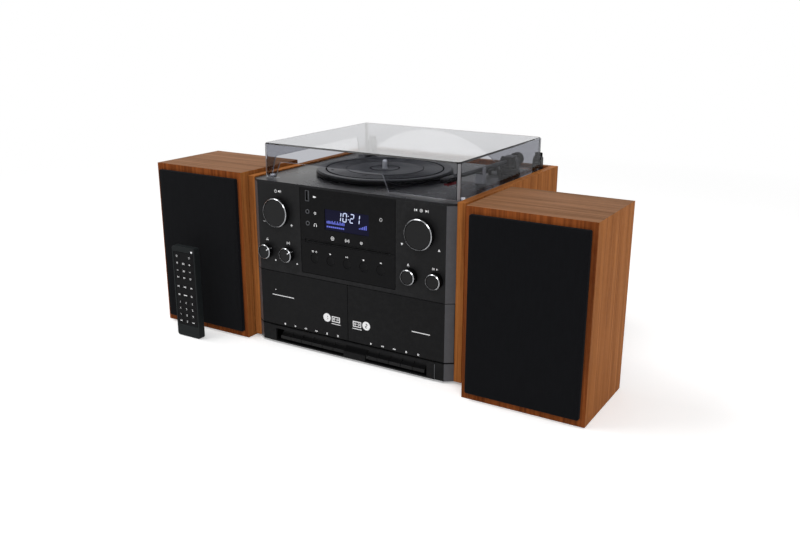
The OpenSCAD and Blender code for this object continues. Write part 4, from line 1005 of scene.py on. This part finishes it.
def addGrille(side):
    node = side + "_speaker_grille"
    c, lowCorner, highCorner = middle(node), low(node), high(node)
    w, h = highCorner.x - lowCorner.x, highCorner.z - lowCorner.z
    body = bodyOf[node]
    dress(node, [coneBlack], 0.5)
    t, edge = clothSettings["thick"], clothSettings["edge"]
    at = facing(c.x, lowCorner.y, c.z)
    bm = bmesh.new()
    loops = [[(u, v, -clothSettings["wrap"]) for u, v in roundedOutline(w + 2 * t, h + 2 * t, 2.2)]]
    for k in range(5):
        a = math.radians(90 * k / 4)
        inset = edge * (1 - math.cos(a)) - t
        loops.append([(u, v, t - edge * (1 - math.sin(a)))
                      for u, v in roundedOutline(w - 2 * inset, h - 2 * inset, max(2.2 - inset, 0.6))])
    for inset, sag in ((8, 0.01), (16, 0.05), (30, 0.08), (50, 0.1)):
        loops.append([(u, v, t - sag) for u, v in roundedOutline(w - 2 * inset, h - 2 * inset, 3)])
    loft(bm, loops, at, capStart=False)
    piece = addPiece(side + "_grille_cloth", bm, body, [grilleCloth], 70)


for side in ("left", "right"):
    addGrille(side)
print("grilles done")

# ---- remote control
dress("remote_case", [remotePlastic], 1.3, segments=3)
dress("remote_keypad", [softRubber], 0.9, segments=3)
case0, case1 = low("remote_case"), high("remote_case")
rowZ = [case1.z * s for s in (0.174, 0.245, 0.316, 0.387, 0.47, 0.562, 0.665, 0.739, 0.82, 0.897)]
keyFace = low("remote_keypad").y
mid = (case0.x + case1.x) / 2
bm = bmesh.new()
remoteRows = [
    ("rewind", 0, "forward"), (7, 8, 9), (4, 5, 6), (1, 2, 3), ("menu", "line", "enter"),
    ("previous", "playPause", "next"), ("waves", "sound", "disc"), ("minus", "menu", "minus"),
    ("plus", "tape", "plus"), ("power", None, "sensor"),
]
for z, row in zip(rowZ, remoteRows):
    for column, name in zip((-1, 0, 1), row):
        at = facing(mid + column * 12, keyFace, z)
        if isinstance(name, int):
            stamp(bm, digit(name, 0.55, 0.15), at, 2.9)
        elif name == "line":
            stamp(bm, bar(-0.5, 0.5, -0.1, 0.1), at, 6.4)
        elif name:
            stamp(bm, symbols[name], at, 2.9)
addPiece("remote_key_marks", bm, bodyOf["remote_keypad"], [whitePrint])
bm = bmesh.new()
lathe(bm, [(1.5, -0.1), (1.5, 0.25), (0.9, 0.5), (0, 0.55)], facing(mid + 16.5, case0.y, case1.z - 5.6), 20)
addPiece("remote_lamp", bm, bodyOf["remote_case"], [clearSoft], smooth=50)
print("remote done")

# ---- rear sockets, terminals and screws
backY = high("back_panel").y
bm = bmesh.new()
for x, z in ((-58, 38), (-44, 38), (-58, 52), (-44, 52)):
    ringSurface = 0 if x < -50 else 1
    at = facing(x, backY - 0.5, z, "rear")
    closedLathe(bm, [(1.65, -3), (1.65, 0.25), (2.6, 0.25), (2.6, -1)], at, 24, 2)
    closedLathe(bm, [(2.8, -1), (2.8, 0.1), (4.1, 0.1), (4.25, -0.6), (4.25, -1)], at, 24, ringSurface)
addPiece("rear_socket_rings", bm, "main_unit", [redPlastic, whitePrint, brassGold], smooth=50)
bm = bmesh.new()
for i, x in enumerate((-18, -4, 10, 24)):
    surface = 0 if i % 2 else 1
    addBlock(bm, (x + 0.8, x + 7.2), (backY - 5.6, backY - 2.2), (45.5, 53.2), surface=surface)
    addBlock(bm, (x + 1.6, x + 6.4), (backY - 6, backY - 3.2), (37, 44.5), surface=surface)
addPiece("rear_terminals", bm, "main_unit", [redPlastic, keyPlastic], rounding=0.5)
rearScrews = ((-145, 20), (145, 20), (-145, 220), (145, 220), (0, 220), (-80, 45), (80, 45))
addScrews("rear_screws", "main_unit", [(0, 0.9), (1.1, 0.9), (3.1, 0.5), (3.4, -0.05)], 24,
          [facing(x, backY, z, "rear") for x, z in rearScrews])
bm = bmesh.new()
stamp(bm, symbols["waves"], facing(54, high("main_board").y, 56.5, "rear"), 4)
for name, x in (("minus", -14), ("plus", 0), ("minus", 14), ("plus", 28)):
    stamp(bm, symbols[name], facing(x, backY - 4, 31.6, "rear"), 2.4)
addPiece("rear_marks", bm, "main_unit", [whitePrint])

terminalZ = 75
for side in ("left", "right"):
    cabinet = side + "_speaker_cabinet"
    c, rear, body = middle(cabinet), high(cabinet).y, bodyOf[cabinet]
    bm = bmesh.new()
    at = facing(c.x, rear - 6, terminalZ, "rear")
    frameLoops = [[(u, v, w) for u, v in roundedOutline(50 + g, 30 + g, 1.5)]
                  for g, w in ((-0.6, 0.02), (-0.6, 6.05), (5, 6.05), (5.4, 6.7), (-1.4, 6.9), (-2.4, 0.6))]
    loft(bm, frameLoops, at)
    for i, x in enumerate((-11, 11)):
        closedLathe(bm, [(0, 0.5), (4.6, 0.5), (4.6, 3.4), (4.2, 3.8), (0, 4)],
                    facing(c.x + x, rear - 6, terminalZ, "rear"), 28, 1 + i)
        addBlock(bm, (x - 2.6, x + 2.6), (4.2, 9.2), (0.5, 5.2), at, 1 + i)
    addPiece(side + "_terminal_cup", bm, body, [keyPlastic, redPlastic, coneBlack], rounding=0.25)
    addScrews(side + "_cup_screws", body, [(0, 0.8), (1.1, 0.8), (2.4, 0.4), (2.6, -0.05)], 20,
              [facing(c.x + x, rear, terminalZ, "rear") for x in (-29.5, 29.5)])
print("rear done")


# ---- CAD nodes that keep their shape, with finishes for the inner parts
def finish(surface, *names):
    for name in names:
        keep = nodes[name]
        if not keep.material_slots:
            keep.data.materials.append(surface)
        for place in keep.material_slots:
            place.material = surface


finish(circuitBoard, "main_board")
finish(sheetSteel, "tape_mechanism", "cd_mechanism", "platter_motor")
finish(brushedSteel, "volume_shaft", "tuning_shaft")
finish(brassGold, "drive_pulley")
finish(whitePrint, *[n for n in nodes if n.endswith("_hub")])
finish(coneBlack, "left_speaker_drivers", "right_speaker_drivers")
finish(softRubber, "feet")
finish(blackSatin, "base_plate")
finish(glossBlack, "menu_button", "previous_button", "play_button", "stop_button", "next_button")
print("inner parts done")

# ---- floor and light
stageSettings = {"floor": tone(243, 243, 243), "world": 0.5, "floorLift": 0.3, "near": 0.9, "far": 1.7}


def seenDirectly(tree):
    # the camera and clear or glossy surfaces see a nearly white room, with its shadows
    path = addNode(tree, "LightPath").outputs
    through = addMath(tree, "MAXIMUM", path["Is Glossy Ray"], path["Is Transmission Ray"])
    return addMath(tree, "MAXIMUM", path["Is Camera Ray"], through)


def buildFloor(settings):
    bm = bmesh.new()
    bmesh.ops.create_grid(bm, x_segments=8, y_segments=8, size=14)
    mesh = bpy.data.meshes.new("floor")
    bm.to_mesh(mesh)
    bm.free()
    floor = bpy.data.objects.new("floor", mesh)
    bpy.context.scene.collection.objects.link(floor)
    floor.location.z = -0.0004
    material, tree, shader, place = newMaterial("paleFloor", settings["floor"], roughness=0.9, specular=0.1)
    speckle = addNoise(tree, place, 60, 2, 0.5)
    feed(tree, shader.inputs, {"Base Color": addMix(tree, speckle, settings["floor"], tone(250, 250, 250))})
    spot = addNode(tree, "NewGeometry").outputs["Position"]
    away = addNode(tree, "VectorMath", {0: spot}, operation="LENGTH").outputs["Value"]
    lift = addNode(tree, "Emission", {"Color": (1, 1, 1, 1), "Strength": settings["floorLift"]})
    near = addNode(tree, "AddShader", {0: shader.outputs[0], 1: lift.outputs[0]})
    plain = addNode(tree, "Emission", {"Color": (1, 1, 1, 1), "Strength": 1})
    fade = addRange(tree, away, settings["near"], settings["far"], 0, 1)
    both = addNode(tree, "MixShader", {0: fade, 1: near.outputs[0], 2: plain.outputs[0]})
    mixed = addNode(tree, "MixShader", {0: seenDirectly(tree), 1: shader.outputs[0], 2: both.outputs[0]})
    feed(tree, tree.nodes["Material Output"].inputs, {"Surface": mixed.outputs[0]})
    mesh.materials.append(material)


def buildWorld(settings):
    world = bpy.data.worlds.new("studio")
    bpy.context.scene.world = world
    world.use_nodes = True
    tree = world.node_tree
    background = tree.nodes["Background"]
    background.inputs["Color"].default_value = (1, 1, 1, 1)
    strength = addRange(tree, seenDirectly(tree), 0, 1, settings["world"], 1)
    feed(tree, background.inputs, {"Strength": strength})


def addLamp(name, place, target, size, power):
    data = bpy.data.lights.new(name, "AREA")
    data.shape = "RECTANGLE"
    data.size, data.size_y = size
    data.energy = power
    lamp = bpy.data.objects.new(name, data)
    bpy.context.scene.collection.objects.link(lamp)
    lamp.location = place
    lamp.rotation_mode = "QUATERNION"
    lamp.rotation_quaternion = (Vector(target) - Vector(place)).to_track_quat("-Z", "Y")


lampSettings = {
    "overhead": ((-0.9, -0.5, 1.9), (0, 0, 0.15), (1.1, 0.8), 19),
    "frontRight": ((1.3, -1.5, 1.7), (0.05, 0, 0.15), (0.7, 0.9), 15),
    "side": ((2.2, 0.3, 1.1), (0.1, 0, 0.15), (0.8, 1.0), 4),
}
buildFloor(stageSettings)
buildWorld(stageSettings)
for name, settings in lampSettings.items():
    addLamp(name, *settings)
bpy.context.scene.view_settings.view_transform = "Standard"
print("stage done")
